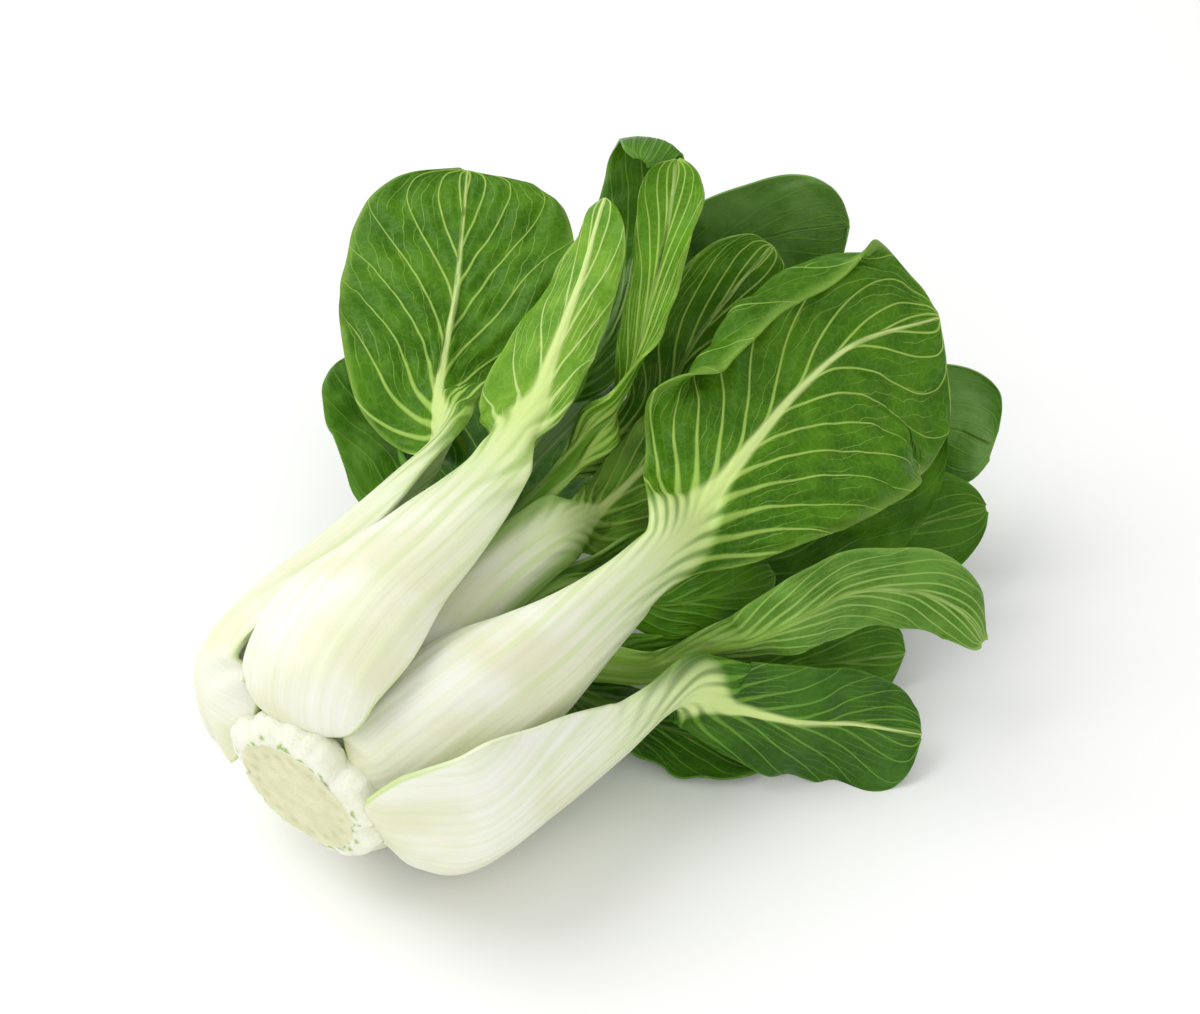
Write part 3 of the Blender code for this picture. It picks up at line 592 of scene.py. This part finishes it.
def dressed_surfaces(row, dress, u, across, x, y, in_leaf, raised, masks):
    """The leaf's two surfaces with their puckers, veins, frilled margin and stalk ribs."""
    outer, inner = leaf_surfaces(row, u, across)
    normal = grid_normals(outer, inner)
    seed = dress["seed"]
    to_edge = 1 - np.abs(across)
    edge = np.clip(to_edge * 14, 0, 1)[None, :] * np.clip((1 - u) * 60, 0, 1)[:, None]
    ridges = stalk_ridges(dress, x, u) * (1 - in_leaf) * edge
    puff = masks["swell"] * dress["pucker"] * (0.75 + 0.35 * ripple(x, y, 14, seed + 50))
    uneven = 0.8 * ripple(x, y, 26, seed + 60) + 0.3 * ripple(x, y, 9, seed + 61)
    uneven = uneven * dress["pucker"] * in_leaf * (1 - masks["stalk"])
    frill = np.clip(1 - to_edge / 0.28, 0, 1)[None, :] ** 1.5
    frill = frill * ripple(np.sign(x) * 40, y, 15, seed + 70) * dress["ruffle"] * in_leaf
    raised = raised * dress["vein_raise"] * edge
    shared = (puff + uneven) * edge + frill
    outer = outer + normal * (shared + raised + ridges)[..., None]
    inner = inner + normal * (shared + 0.4 * raised)[..., None]
    for grid in (outer, inner):
        grid[..., 2] = np.maximum(grid[..., 2], FLOOR_SKIM)
    return outer, inner


def points_of(mesh):
    place = np.empty(len(mesh.vertices) * 3)
    mesh.vertices.foreach_get("co", place)
    return place.reshape(-1, 3)


def put_layer(mesh, name, values):
    layer = mesh.attributes.new(name, "FLOAT", "POINT")
    layer.data.foreach_set("value", np.asarray(values, np.float32).ravel())


def leaf_mesh(row, dress, fineness):
    """One leaf from a flat grid: thickened, then every point moved to its place."""
    bpy.ops.object.select_all(action="DESELECT")
    length = curve(row["path"])[1][-1]
    step = MESH_STEP / (dress["fine"] ** 0.5 * fineness)
    rows = int(min(length * 0.78 / step, MOST_ROWS * fineness))
    cols = 2 * int(min(max(row["widths"]) / step, MOST_COLUMNS * fineness))
    bpy.ops.mesh.primitive_grid_add(x_subdivisions=cols, y_subdivisions=rows, size=2)
    piece = bpy.context.object
    slab = piece.modifiers.new("thickness", "SOLIDIFY")
    slab.thickness = 0.1
    slab.offset = 0.0
    bpy.ops.object.modifier_apply(modifier="thickness")
    mesh = piece.data
    place = points_of(mesh)
    col = np.rint((place[:, 0] + 1) / 2 * cols).astype(int)
    line = np.rint((place[:, 1] + 1) / 2 * rows).astype(int)
    back = place[:, 2] < 0
    u = table([0, 0.3, 1.0], [0, row["neck"], 1.0], np.linspace(0, 1, rows + 1))
    across = np.linspace(-1, 1, cols + 1)
    x, y, in_leaf, raised, masks = leaf_masks(row, dress, u, across, length)
    outer, inner = dressed_surfaces(row, dress, u, across, x, y, in_leaf, raised, masks)
    moved = np.where(back[:, None], outer[line, col], inner[line, col])
    mesh.vertices.foreach_set("co", (moved * MM).ravel())
    put_layer(mesh, "inner", np.where(back, 0.0, 1.0))
    for name, grid in masks.items():
        put_layer(mesh, name, grid[line, col])
    loops = np.empty(len(mesh.loops), int)
    mesh.loops.foreach_get("vertex_index", loops)
    flat = np.stack([x[line, col], y[line, col]], 1)[loops] / MAP_SPAN + 0.5
    mesh.uv_layers[0].data.foreach_set("uv", flat.ravel())
    mesh.update()
    return piece


def finish_piece(piece, name, node, material, sharp=60):
    """Names a piece, smooths it, dresses it, hangs it under the root body and hides the imported node
    it stands for.
    """
    piece.name = name
    piece.data.name = name
    bpy.ops.object.select_all(action="DESELECT")
    piece.select_set(True)
    bpy.context.view_layer.objects.active = piece
    bpy.ops.object.mode_set(mode="EDIT")
    bpy.ops.mesh.select_all(action="SELECT")
    bpy.ops.mesh.normals_make_consistent(inside=False)
    bpy.ops.object.mode_set(mode="OBJECT")
    bpy.ops.object.shade_smooth_by_angle(angle=math.radians(sharp))
    piece.data.materials.clear()
    piece.data.materials.append(material)
    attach(piece, "root")
    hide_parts(node)
    return piece


# ---- Materials ----

# The midrib counts as this much nearer than it is, so that its paint is wider.
MIDRIB_NEARNESS = 0.65
# Finer veins that branch off into the blade between two side veins, from rib to margin.
FORKS = 5.0
STALK_ROUGHNESS = 0.36


class Wiring:
    """Adds nodes to a shader tree in the order they are made, row after row."""

    def __init__(self, tree):
        self.tree = tree

    def add(self, kind, **values):
        made = self.tree.nodes.new(kind)
        row, place = divmod(len(self.tree.nodes), 14)
        made.location = (place * 200 - 2600, 900 - row * 280)
        for key, value in values.items():
            setattr(made, key, value)
        return made

    def feed(self, value, socket):
        """Link an output, or set a plain number or colour."""
        if isinstance(value, bpy.types.NodeSocket):
            self.tree.links.new(value, socket)
        elif isinstance(value, tuple):
            socket.default_value = (*value, 1.0)
        else:
            socket.default_value = value

    def mix(self, factor, first, second):
        made = self.add("ShaderNodeMix", data_type="RGBA")
        for place, value in ((0, factor), (6, first), (7, second)):
            self.feed(value, made.inputs[place])
        return made.outputs[2]

    def maths(self, operation, first, second=0.0, clamp=False):
        made = self.add("ShaderNodeMath", operation=operation, use_clamp=clamp)
        self.feed(first, made.inputs[0])
        self.feed(second, made.inputs[1])
        return made.outputs[0]

    def plus(self, first, second):
        return self.maths("ADD", first, second)

    def minus(self, first, second):
        return self.maths("SUBTRACT", first, second)

    def times(self, first, second):
        return self.maths("MULTIPLY", first, second)

    def rise(self, value, low, high, to_low=0.0, to_high=1.0):
        """A soft step from to_low to to_high as the value goes from low to high."""
        made = self.add("ShaderNodeMapRange", interpolation_type="SMOOTHSTEP")
        for place, given in enumerate((value, low, high, to_low, to_high)):
            self.feed(given, made.inputs[place])
        return made.outputs[0]

    def layer(self, name):
        return self.add("ShaderNodeAttribute", attribute_name=name).outputs["Fac"]

    def noise(self, vector, scale, detail=3.0, stretch=None):
        if stretch:
            mapping = self.add("ShaderNodeMapping")
            mapping.inputs["Scale"].default_value = stretch
            self.feed(vector, mapping.inputs["Vector"])
            vector = mapping.outputs["Vector"]
        made = self.add("ShaderNodeTexNoise")
        self.feed(vector, made.inputs["Vector"])
        self.feed(scale, made.inputs["Scale"])
        self.feed(detail, made.inputs["Detail"])
        return made.outputs["Fac"]

    def bump(self, height, distance, strength):
        made = self.add("ShaderNodeBump")
        for label, value in (("Height", height), ("Distance", distance), ("Strength", strength)):
            self.feed(value, made.inputs[label])
        return made.outputs["Normal"]


def vein_paint(wire, flat, off_vein, off_midrib):
    """Mask of the midrib, the side veins and the finer forks between them."""
    count, girth = wire.layer("count"), wire.layer("girth")
    apart = wire.maths("MINIMUM", wire.times(off_vein, wire.layer("gap")), off_midrib)
    share = wire.maths("DIVIDE", apart, wire.maths("MAXIMUM", girth, 0.02))
    vein = wire.rise(share, 0.35, 1.2, 1.0, 0.0)
    grown = wire.rise(girth, 0.05, 0.25)

    lean = wire.times(wire.maths("FRACT", count), 1.3)
    stagger = wire.times(wire.maths("FLOOR", count), 0.37)
    sway = wire.times(wire.noise(flat, 12.0, 2.0), 1.4)
    fork = wire.minus(wire.times(wire.layer("reach"), FORKS), lean)
    fork = wire.maths("FRACT", wire.plus(wire.plus(fork, stagger), sway))
    fork = wire.maths("ABSOLUTE", wire.minus(fork, 0.5))
    fork = wire.times(fork, wire.maths("DIVIDE", wire.layer("half"), FORKS))
    fork = wire.rise(fork, 0.08, 0.34, 1.0, 0.0)
    shown = wire.rise(wire.noise(flat, 7.0, 2.0), 0.42, 0.56, 0.0, 0.5)
    fork = wire.times(wire.times(fork, shown), grown)
    return wire.maths("MAXIMUM", wire.times(vein, grown), fork)


def fine_net(wire, flat, strength, blade_only):
    """Mask of the net of finest veins: the warped edges of small cells."""
    bent = wire.add("ShaderNodeVectorMath", operation="MULTIPLY_ADD")
    wire.feed(wire.noise(flat, 22.0, 2.0), bent.inputs[0])
    bent.inputs[1].default_value = (0.035, 0.035, 0.035)
    wire.feed(flat, bent.inputs[2])
    cells = wire.add("ShaderNodeTexVoronoi", feature="DISTANCE_TO_EDGE")
    cells.inputs["Scale"].default_value = 46.0
    wire.feed(bent.outputs[0], cells.inputs["Vector"])
    net = wire.rise(cells.outputs["Distance"], 0.0, 0.13, 1.0, 0.0)
    return wire.times(wire.times(net, strength), blade_only)


def blade_colour(wire, given, patches, net, vein, rim):
    """Mottled green, lighter on the swells between the veins as painted light, deeper on the inner
    face, with every vein over it.
    """
    green = wire.mix(wire.rise(patches, 0.36, 0.64), given["Deep"], given["Green"])
    # Painted light and shade: the swells between the veins are lightened, the dips beside the veins
    # stay deeper.
    green = wire.mix(wire.times(wire.layer("swell"), 0.25), green, given["Green"])
    green = wire.mix(wire.times(wire.layer("inner"), 0.25), green, given["Deep"])
    for mask, strength in ((net, 0.6), (rim, 0.35), (vein, 0.9)):
        green = wire.mix(wire.times(mask, strength), green, given["Vein"])
    return green


def stalk_colour(wire, given, flat, off_vein, off_midrib, rim):
    """Pale flesh, beige toward the base as its own tone and as painted shade, green at the neck and, on
    leaves deep in the head, dark green from low down as painted shade; streaked, with thin green
    margins.
    """
    along = wire.layer("along")
    # Beige patches toward the stalk's base: partly the flesh's own tone, partly painted shade on the
    # lower belly.
    warm_and_shade = wire.rise(wire.noise(flat, 3.2, 2.0), 0.42, 0.62, 0.0, 0.85)
    warm_and_shade = wire.times(warm_and_shade, wire.rise(along, 0.95, 0.4))
    body = wire.mix(warm_and_shade, given["Stalk"], given["Warm And Shade"])
    fade = wire.rise(wire.minus(along, given["Greens At"]), 0.0, 0.6)
    body = wire.mix(fade, body, given["Neck"])
    streak = wire.rise(wire.noise(flat, 64.0, 5.0, (1.0, 0.025, 1.0)), 0.42, 0.66)
    streak = wire.times(streak, wire.rise(along, 0.1, 1.0, 0.2, 0.7))
    body = wire.mix(streak, body, given["Streak"])

    groove = wire.rise(off_vein, 0.14, 0.46, 0.0, 0.72)
    groove = wire.times(groove, wire.rise(along, 0.62, 1.1))
    groove = wire.times(groove, wire.rise(off_midrib, 0.6, 3.0))
    body = wire.mix(groove, body, given["Green"])

    low_down = wire.rise(along, 0.06, 0.3, 0.9, 0.2)
    margin = wire.times(wire.rise(rim, 0.3, 1.0),
                        wire.maths("MAXIMUM", low_down, given["Rim Green"]))
    edging = wire.mix(wire.times(given["Rim Green"], 0.75), given["Streak"], given["Green"])
    return wire.mix(margin, body, edging)


def skin_height(wire, flat, net, vein, stalk, blade_only):
    """Relief for the bump: blistered, veined blade and a fibrous stalk."""
    blade = wire.plus(wire.times(net, 0.5), 0.5)
    for height, strength in ((wire.noise(flat, 120.0), 0.35),
                             (wire.noise(flat, 20.0, 2.0), 3.2), (vein, 0.6)):
        blade = wire.plus(blade, wire.times(height, strength))
    fibre = wire.noise(flat, 130.0, 3.0, (1.0, 0.03, 1.0))
    return wire.plus(wire.times(blade, blade_only), wire.times(fibre, wire.times(stalk, 0.4)))


def leaf_skin_group():
    """Shader group for every leaf: pale streaky stalk running into a veined green blade."""
    name = "leaf skin"
    if name in bpy.data.node_groups:
        return bpy.data.node_groups[name]
    tree = bpy.data.node_groups.new(name, "ShaderNodeTree")
    colours = ("Green", "Deep", "Vein", "Stalk", "Neck", "Warm And Shade", "Streak")
    numbers = ("Blade Roughness", "Network", "Greens At", "Rim Green")
    for labels, kind, way in ((colours, "Color", "INPUT"), (numbers, "Float", "INPUT"),
                              (("Color",), "Color", "OUTPUT"),
                              (("Roughness", "Height"), "Float", "OUTPUT")):
        for label in labels:
            tree.interface.new_socket(label, in_out=way, socket_type="NodeSocket" + kind)
    wire = Wiring(tree)
    given = wire.add("NodeGroupInput").outputs
    flat = wire.add("ShaderNodeUVMap").outputs["UV"]
    stalk, rim = wire.layer("stalk"), wire.layer("rim")
    blade_only = wire.maths("SUBTRACT", 1.0, stalk, clamp=True)
    off_vein = wire.maths("FRACT", wire.plus(wire.layer("count"), 0.5))
    off_vein = wire.maths("ABSOLUTE", wire.minus(off_vein, 0.5))
    parts = wire.add("ShaderNodeSeparateXYZ")
    wire.feed(flat, parts.inputs[0])
    off_midrib = wire.maths("ABSOLUTE", wire.minus(parts.outputs["X"], 0.5))
    off_midrib = wire.times(off_midrib, MAP_SPAN * MIDRIB_NEARNESS)
    patches = wire.noise(flat, 9.0, 4.0)
    vein = vein_paint(wire, flat, off_vein, off_midrib)
    net = fine_net(wire, flat, given["Network"], blade_only)
    veined = blade_colour(wire, given, patches, net, vein, rim)
    body = stalk_colour(wire, given, flat, off_vein, off_midrib, rim)
    rough = wire.plus(wire.times(blade_only, given["Blade Roughness"]),
                      wire.times(stalk, STALK_ROUGHNESS))
    out = wire.add("NodeGroupOutput").inputs
    wire.feed(wire.mix(stalk, veined, body), out["Color"])
    wire.feed(wire.plus(rough, wire.times(patches, 0.1)), out["Roughness"])
    wire.feed(skin_height(wire, flat, net, vein, stalk, blade_only), out["Height"])
    return tree


def flesh(name, shown, softness, tint):
    """A new material with a little light passing into it, its wiring and its shader."""
    made = bpy.data.materials.new(name)
    made.use_nodes = True
    made.diffuse_color = (*shown, 1.0)
    shader = made.node_tree.nodes["Principled BSDF"]
    shader.inputs["Subsurface Weight"].default_value = softness
    shader.inputs["Subsurface Radius"].default_value = tint
    shader.inputs["Subsurface Scale"].default_value = 0.002
    return made, Wiring(made.node_tree), shader.inputs


def skin_material(name, dress, settings):
    """Material of one leaf."""
    made, wire, shader = flesh(name, dress["green"], 0.12, (0.6, 1.0, 0.3))
    skin = wire.add("ShaderNodeGroup", node_tree=leaf_skin_group())
    for label, value in (("Green", dress["green"]), ("Deep", dress["deep"]),
                         ("Vein", dress["vein"]), ("Stalk", settings.stalk_colour),
                         ("Neck", dress["neck"] or settings.neck_colour),
                         ("Warm And Shade", WARM_FLESH_AND_SHADE), ("Streak", STREAK_GREEN)):
        wire.feed(tuple(value), skin.inputs[label])
    for label, value in (("Blade Roughness", dress["rough"]), ("Network", 0.14),
                         ("Greens At", dress["greens_at"]), ("Rim Green", dress["rim_green"])):
        wire.feed(value, skin.inputs[label])
    wire.feed(skin.outputs["Color"], shader["Base Color"])
    wire.feed(skin.outputs["Roughness"], shader["Roughness"])
    wire.feed(wire.bump(skin.outputs["Height"], 0.0004, 0.7), shader["Normal"])
    for label, value in (("Coat Weight", dress["coat"]), ("Coat Roughness", 0.3),
                         ("Specular IOR Level", 0.15)):
        wire.feed(value, shader[label])
    return made


def stem_material(settings):
    """Cut stem: a moist cream face with fine flecks, a pale collar with green scars."""
    made, wire, shader = flesh("cut stem", settings.cut_colour, 0.15, (1.0, 0.9, 0.5))
    where = wire.add("ShaderNodeTexCoord").outputs["Object"]
    patches = wire.noise(where, 260.0, 5.0)
    tone = wire.rise(patches, 0.32, 0.7)
    flecks = wire.rise(wire.noise(where, 1500.0), 0.5, 0.72)
    cut = wire.mix(tone, (0.70, 0.70, 0.42), tuple(settings.cut_colour))
    cut = wire.mix(wire.times(flecks, 0.5), cut, (0.86, 0.86, 0.66))
    cut = wire.mix(wire.times(wire.layer("ring"), 0.4), cut, (0.45, 0.50, 0.20))
    collar = wire.mix(tone, (0.84, 0.85, 0.68), tuple(settings.collar_colour))
    whole = wire.mix(wire.layer("face"), collar, cut)
    whole = wire.mix(wire.layer("scar"), whole, (0.28, 0.48, 0.07))
    wire.feed(whole, shader["Base Color"])
    wire.feed(wire.plus(wire.times(patches, 0.25), 0.38), shader["Roughness"])
    wire.feed(wire.bump(wire.plus(flecks, patches), 0.0002, 0.6), shader["Normal"])
    return made


# ---- Stem ----

STEM_SIDES = 220
STEM_RINGS = 130
# Down the stem from the middle of the cut face to its hidden tip: the share of the way,
# how far the collar passes the face's edge, the last radii, and the depth of each.
STEM_AT = (0, 0.4, 0.5, 0.55, 0.6, 0.68, 0.78, 0.88, 1.0)
COLLAR_SWELL = (-1.0, 0.0, 1.6, 3.6, 4.8, 3.4)
HIDDEN_RADIUS = (12.0, 0)
STEM_ALONG = (0, 0, 0.1, 0.6, 1.9, 4.4, 7.6, 9.8, 10.6)
# Knobs round the collar: how many to a turn, and their share of the knob height.
KNOBS = ((5, 0.5), (8, 0.5), (13, 0.35), (21, 0.25), (34, 0.15))
# Green marks round the face's edge, and where its ring of strands lies, as a share of it.
SCARS = 44
STRAND_RING = 0.78


def scar_marks(rng, turn, down):
    """Small green marks round the edge of the cut face, where leaves were trimmed."""
    marks = np.zeros_like(turn)
    for _ in range(SCARS):
        at = rng.uniform(-np.pi, np.pi)
        wide = rng.uniform(0.02, 0.07)
        deep = rng.uniform(0.485, 0.545)
        apart = np.abs((turn - at + np.pi) % (2 * np.pi) - np.pi)
        spot = np.exp(-(apart / wide) ** 2) * np.exp(-((down - deep) / 0.012) ** 2)
        marks = np.maximum(marks, spot)
    return np.clip(marks * 1.3, 0, 0.9)


def stem_piece(settings):
    """The trimmed stem from a round grid of rings, pushed into scars and ridges."""
    bpy.ops.object.select_all(action="DESELECT")
    bpy.ops.mesh.primitive_uv_sphere_add(segments=STEM_SIDES, ring_count=STEM_RINGS, radius=1)
    piece = bpy.context.object
    mesh = piece.data
    place = points_of(mesh)
    turn = np.arctan2(place[:, 1], place[:, 0])
    down = np.arccos(np.clip(place[:, 2], -1, 1)) / np.pi
    face_edge = settings.face_radius / MM
    radii = [0, *(face_edge + swell for swell in COLLAR_SWELL), *HIDDEN_RADIUS]
    radius = table(STEM_AT, radii, down)
    along = table(STEM_AT, STEM_ALONG, down)
    rng = np.random.default_rng(4)
    knobs = np.zeros_like(turn)
    for number, size in KNOBS:
        knobs += size * np.sin(number * turn + rng.uniform(0, 6.28) + 3 * down)
    on_collar = ramp((down - 0.44) / 0.08) * (1 - ramp((down - 0.8) / 0.15))
    radius = radius + on_collar * knobs * settings.knob_height / MM
    on_face = down < 0.47
    x, y = radius * np.cos(turn), radius * np.sin(turn)
    dents = ripple(x, y, 6.0, 8) * 0.12 + ripple(x, y, 2.2, 9) * 0.06
    along = along + np.where(on_face, np.abs(dents) + 0.02, 0.0)
    points = FACE_CENTRE + ALONG * along[:, None] + UPWARD * x[:, None] + SIDEWAYS * y[:, None]
    mesh.vertices.foreach_set("co", (points * MM).ravel())
    put_layer(mesh, "face", 1 - ramp((down - 0.45) / 0.06))
    put_layer(mesh, "scar", scar_marks(rng, turn, down))
    strands = np.exp(-((radius - STRAND_RING * face_edge - 0.5 * knobs) / 1.1) ** 2) * on_face
    put_layer(mesh, "ring", strands * (0.5 + 0.5 * np.sin(17 * turn)))
    mesh.update()
    return piece


# ---- Settings, operators and panel ----

class BokChoyStem(PropertyGroup):
    """Sizes and colours of the cut stem."""
    face_radius: FloatProperty(name="Cut Radius", description="Radius of the flat cut face",
                               default=0.0156, min=0.01, max=0.02, subtype="DISTANCE", unit="LENGTH")
    knob_height: FloatProperty(name="Knob Height", description="How far the leaf scars stand out",
                               default=0.0013, min=0.0, max=0.002, subtype="DISTANCE", unit="LENGTH")
    cut_colour: FloatVectorProperty(name="Cut Colour", description="Colour of the cut flesh",
                                    default=(0.80, 0.79, 0.52), min=0, max=1, subtype="COLOR")
    collar_colour: FloatVectorProperty(name="Collar Colour", description="Colour of the collar",
                                       default=(0.90, 0.91, 0.78), min=0, max=1, subtype="COLOR")


class BokChoyLeaves(PropertyGroup):
    """Fineness and stalk colours shared by all the leaves."""
    fineness: FloatProperty(name="Fineness", description="How closely the leaves are meshed",
                            default=1.0, min=0.2, max=1.2, subtype="FACTOR")
    stalk_colour: FloatVectorProperty(name="Stalk", description="Colour of the swollen stalk",
                                      default=(0.90, 0.905, 0.80), min=0, max=1, subtype="COLOR")
    neck_colour: FloatVectorProperty(name="Neck", description="Colour of the stalk's narrow neck",
                                     default=(0.60, 0.74, 0.26), min=0, max=1, subtype="COLOR")


class BokChoyStage(PropertyGroup):
    """Camera, floor and light."""
    distance: FloatProperty(name="Distance", description="Camera distance from its aim",
                            default=0.78, min=0.3, max=3.0, subtype="DISTANCE", unit="LENGTH")
    lens: FloatProperty(name="Lens", description="Focal length of the camera",
                        default=100.0, min=20, max=200, unit="CAMERA")
    key_light: FloatProperty(name="Key Light", description="Power of the large soft light",
                             default=7.5, min=0, max=100, unit="POWER")
    surround: FloatProperty(name="Surround", description="Brightness of the white surround",
                            default=0.65, min=0, max=3)


def grow_leaves(context, first, last):
    """Model the leaves from first up to last in the table, each with its own seed."""
    settings = context.scene.bok_choy_leaves
    fineness = settings.fineness * 1.0
    for index in range(first, last):
        row = LEAVES[index]
        name = row["name"]
        dress = dict(LOOKS[name], seed=3 + 2 * index)
        piece = leaf_mesh(row, dress, fineness)
        skin = skin_material(name + " skin", dress, settings)
        finish_piece(piece, name + "_grown", name, skin)
    return {"FINISHED"}


class BOKCHOY_OT_stem(Operator):
    """Model the trimmed stem with its cut face and collar"""
    bl_idname = "bok_choy.stem"
    bl_label = "Stem Base"

    def execute(self, context):
        settings = context.scene.bok_choy_stem
        piece = stem_piece(settings)
        finish_piece(piece, "stem_base_cut", "stem_base", stem_material(settings))
        return {"FINISHED"}


class BOKCHOY_OT_outer(Operator):
    """Grow the six outer leaves"""
    bl_idname = "bok_choy.outer"
    bl_label = "Outer Leaves"

    def execute(self, context):
        return grow_leaves(context, 0, 6)


class BOKCHOY_OT_middle(Operator):
    """Grow the six middle leaves"""
    bl_idname = "bok_choy.middle"
    bl_label = "Middle Leaves"

    def execute(self, context):
        return grow_leaves(context, 6, 12)


class BOKCHOY_OT_inner(Operator):
    """Grow the six inner leaves"""
    bl_idname = "bok_choy.inner"
    bl_label = "Inner Leaves"

    def execute(self, context):
        return grow_leaves(context, 12, 18)


# The stage, metres: what the camera and lights aim at, and where they stand.
AIM = (0.0037, -0.0046, 0.0458)
CAMERA_SIDE = np.array([-0.601, -0.437, 0.669])
KEY_PLACE = (-0.20, 0.62, 0.95)
FILL_PLACE = (-0.9, -0.9, 0.8)
FILL_SHARE = 0.6
PAPER = (0.975, 0.975, 0.97, 1)


def aim(thing):
    way = Vector(AIM) - thing.location
    thing.rotation_euler = way.to_track_quat("-Z", "Y").to_euler()


def soft_light(name, place, size, power):
    bpy.ops.object.light_add(type="AREA", location=place)
    lamp = bpy.context.object
    lamp.name = name
    lamp.data.shape = "DISK"
    lamp.data.size = size
    lamp.data.energy = power
    aim(lamp)


def paper_floor():
    bpy.ops.object.select_all(action="DESELECT")
    bpy.ops.mesh.primitive_plane_add(size=6.0, location=(0, 0, 0))
    floor = bpy.context.object
    floor.name = "floor"
    paper = bpy.data.materials.new("floor paper")
    paper.use_nodes = True
    shader = paper.node_tree.nodes["Principled BSDF"]
    shader.inputs["Base Color"].default_value = PAPER
    shader.inputs["Roughness"].default_value = 0.9
    floor.data.materials.append(paper)


class BOKCHOY_OT_stage(Operator):
    """Set the floor, soft lights and camera"""
    bl_idname = "bok_choy.stage"
    bl_label = "Stage"

    def execute(self, context):
        settings = context.scene.bok_choy_stage
        paper_floor()
        soft_light("key light", KEY_PLACE, 1.0, settings.key_light)
        soft_light("front fill", FILL_PLACE, 1.4, settings.key_light * FILL_SHARE)
        world = bpy.data.worlds.new("surround")
        world.use_nodes = True
        sky = world.node_tree.nodes["Background"]
        sky.inputs["Color"].default_value = (1, 1, 1, 1)
        sky.inputs["Strength"].default_value = settings.surround
        context.scene.world = world
        context.scene.view_settings.view_transform = "Standard"
        toward = CAMERA_SIDE / np.linalg.norm(CAMERA_SIDE)
        bpy.ops.object.camera_add(location=tuple(np.array(AIM) + toward * settings.distance))
        camera = context.object
        camera.name = "camera"
        camera.data.lens = settings.lens
        camera.data.sensor_width = 36.0
        camera.data.clip_start = 0.01
        aim(camera)
        context.scene.camera = camera
        return {"FINISHED"}


class BOKCHOY_PT_panel(Panel):
    """Sizes, colours and build buttons of the bok choy"""
    bl_idname = "BOKCHOY_PT_panel"
    bl_label = "Bok Choy"
    bl_space_type = "VIEW_3D"
    bl_region_type = "UI"
    bl_category = "Bok Choy"

    def draw(self, context):
        column = self.layout.column()
        for name, group in SETTINGS:
            settings = getattr(context.scene, name)
            column.label(text=group.__name__.removeprefix("BokChoy"))
            for key in settings.__annotations__:
                column.prop(settings, key)
        for operator in BUILD_ORDER:
            column.operator(operator.bl_idname)


BUILD_ORDER = (BOKCHOY_OT_stem, BOKCHOY_OT_outer, BOKCHOY_OT_middle, BOKCHOY_OT_inner,
               BOKCHOY_OT_stage)
SETTINGS = (("bok_choy_stem", BokChoyStem), ("bok_choy_leaves", BokChoyLeaves),
            ("bok_choy_stage", BokChoyStage))


def register():
    for name, group in SETTINGS:
        bpy.utils.register_class(group)
        setattr(bpy.types.Scene, name, PointerProperty(type=group))
    for operator in BUILD_ORDER:
        bpy.utils.register_class(operator)
    bpy.utils.register_class(BOKCHOY_PT_panel)


def unregister():
    bpy.utils.unregister_class(BOKCHOY_PT_panel)
    for operator in reversed(BUILD_ORDER):
        bpy.utils.unregister_class(operator)
    for name, group in reversed(SETTINGS):
        delattr(bpy.types.Scene, name)
        bpy.utils.unregister_class(group)


def main():
    register()
    bpy.ops.bok_choy.stem()
    bpy.ops.bok_choy.outer()
    bpy.ops.bok_choy.middle()
    bpy.ops.bok_choy.inner()
    bpy.ops.bok_choy.stage()


if __name__ == "__main__":
    main()
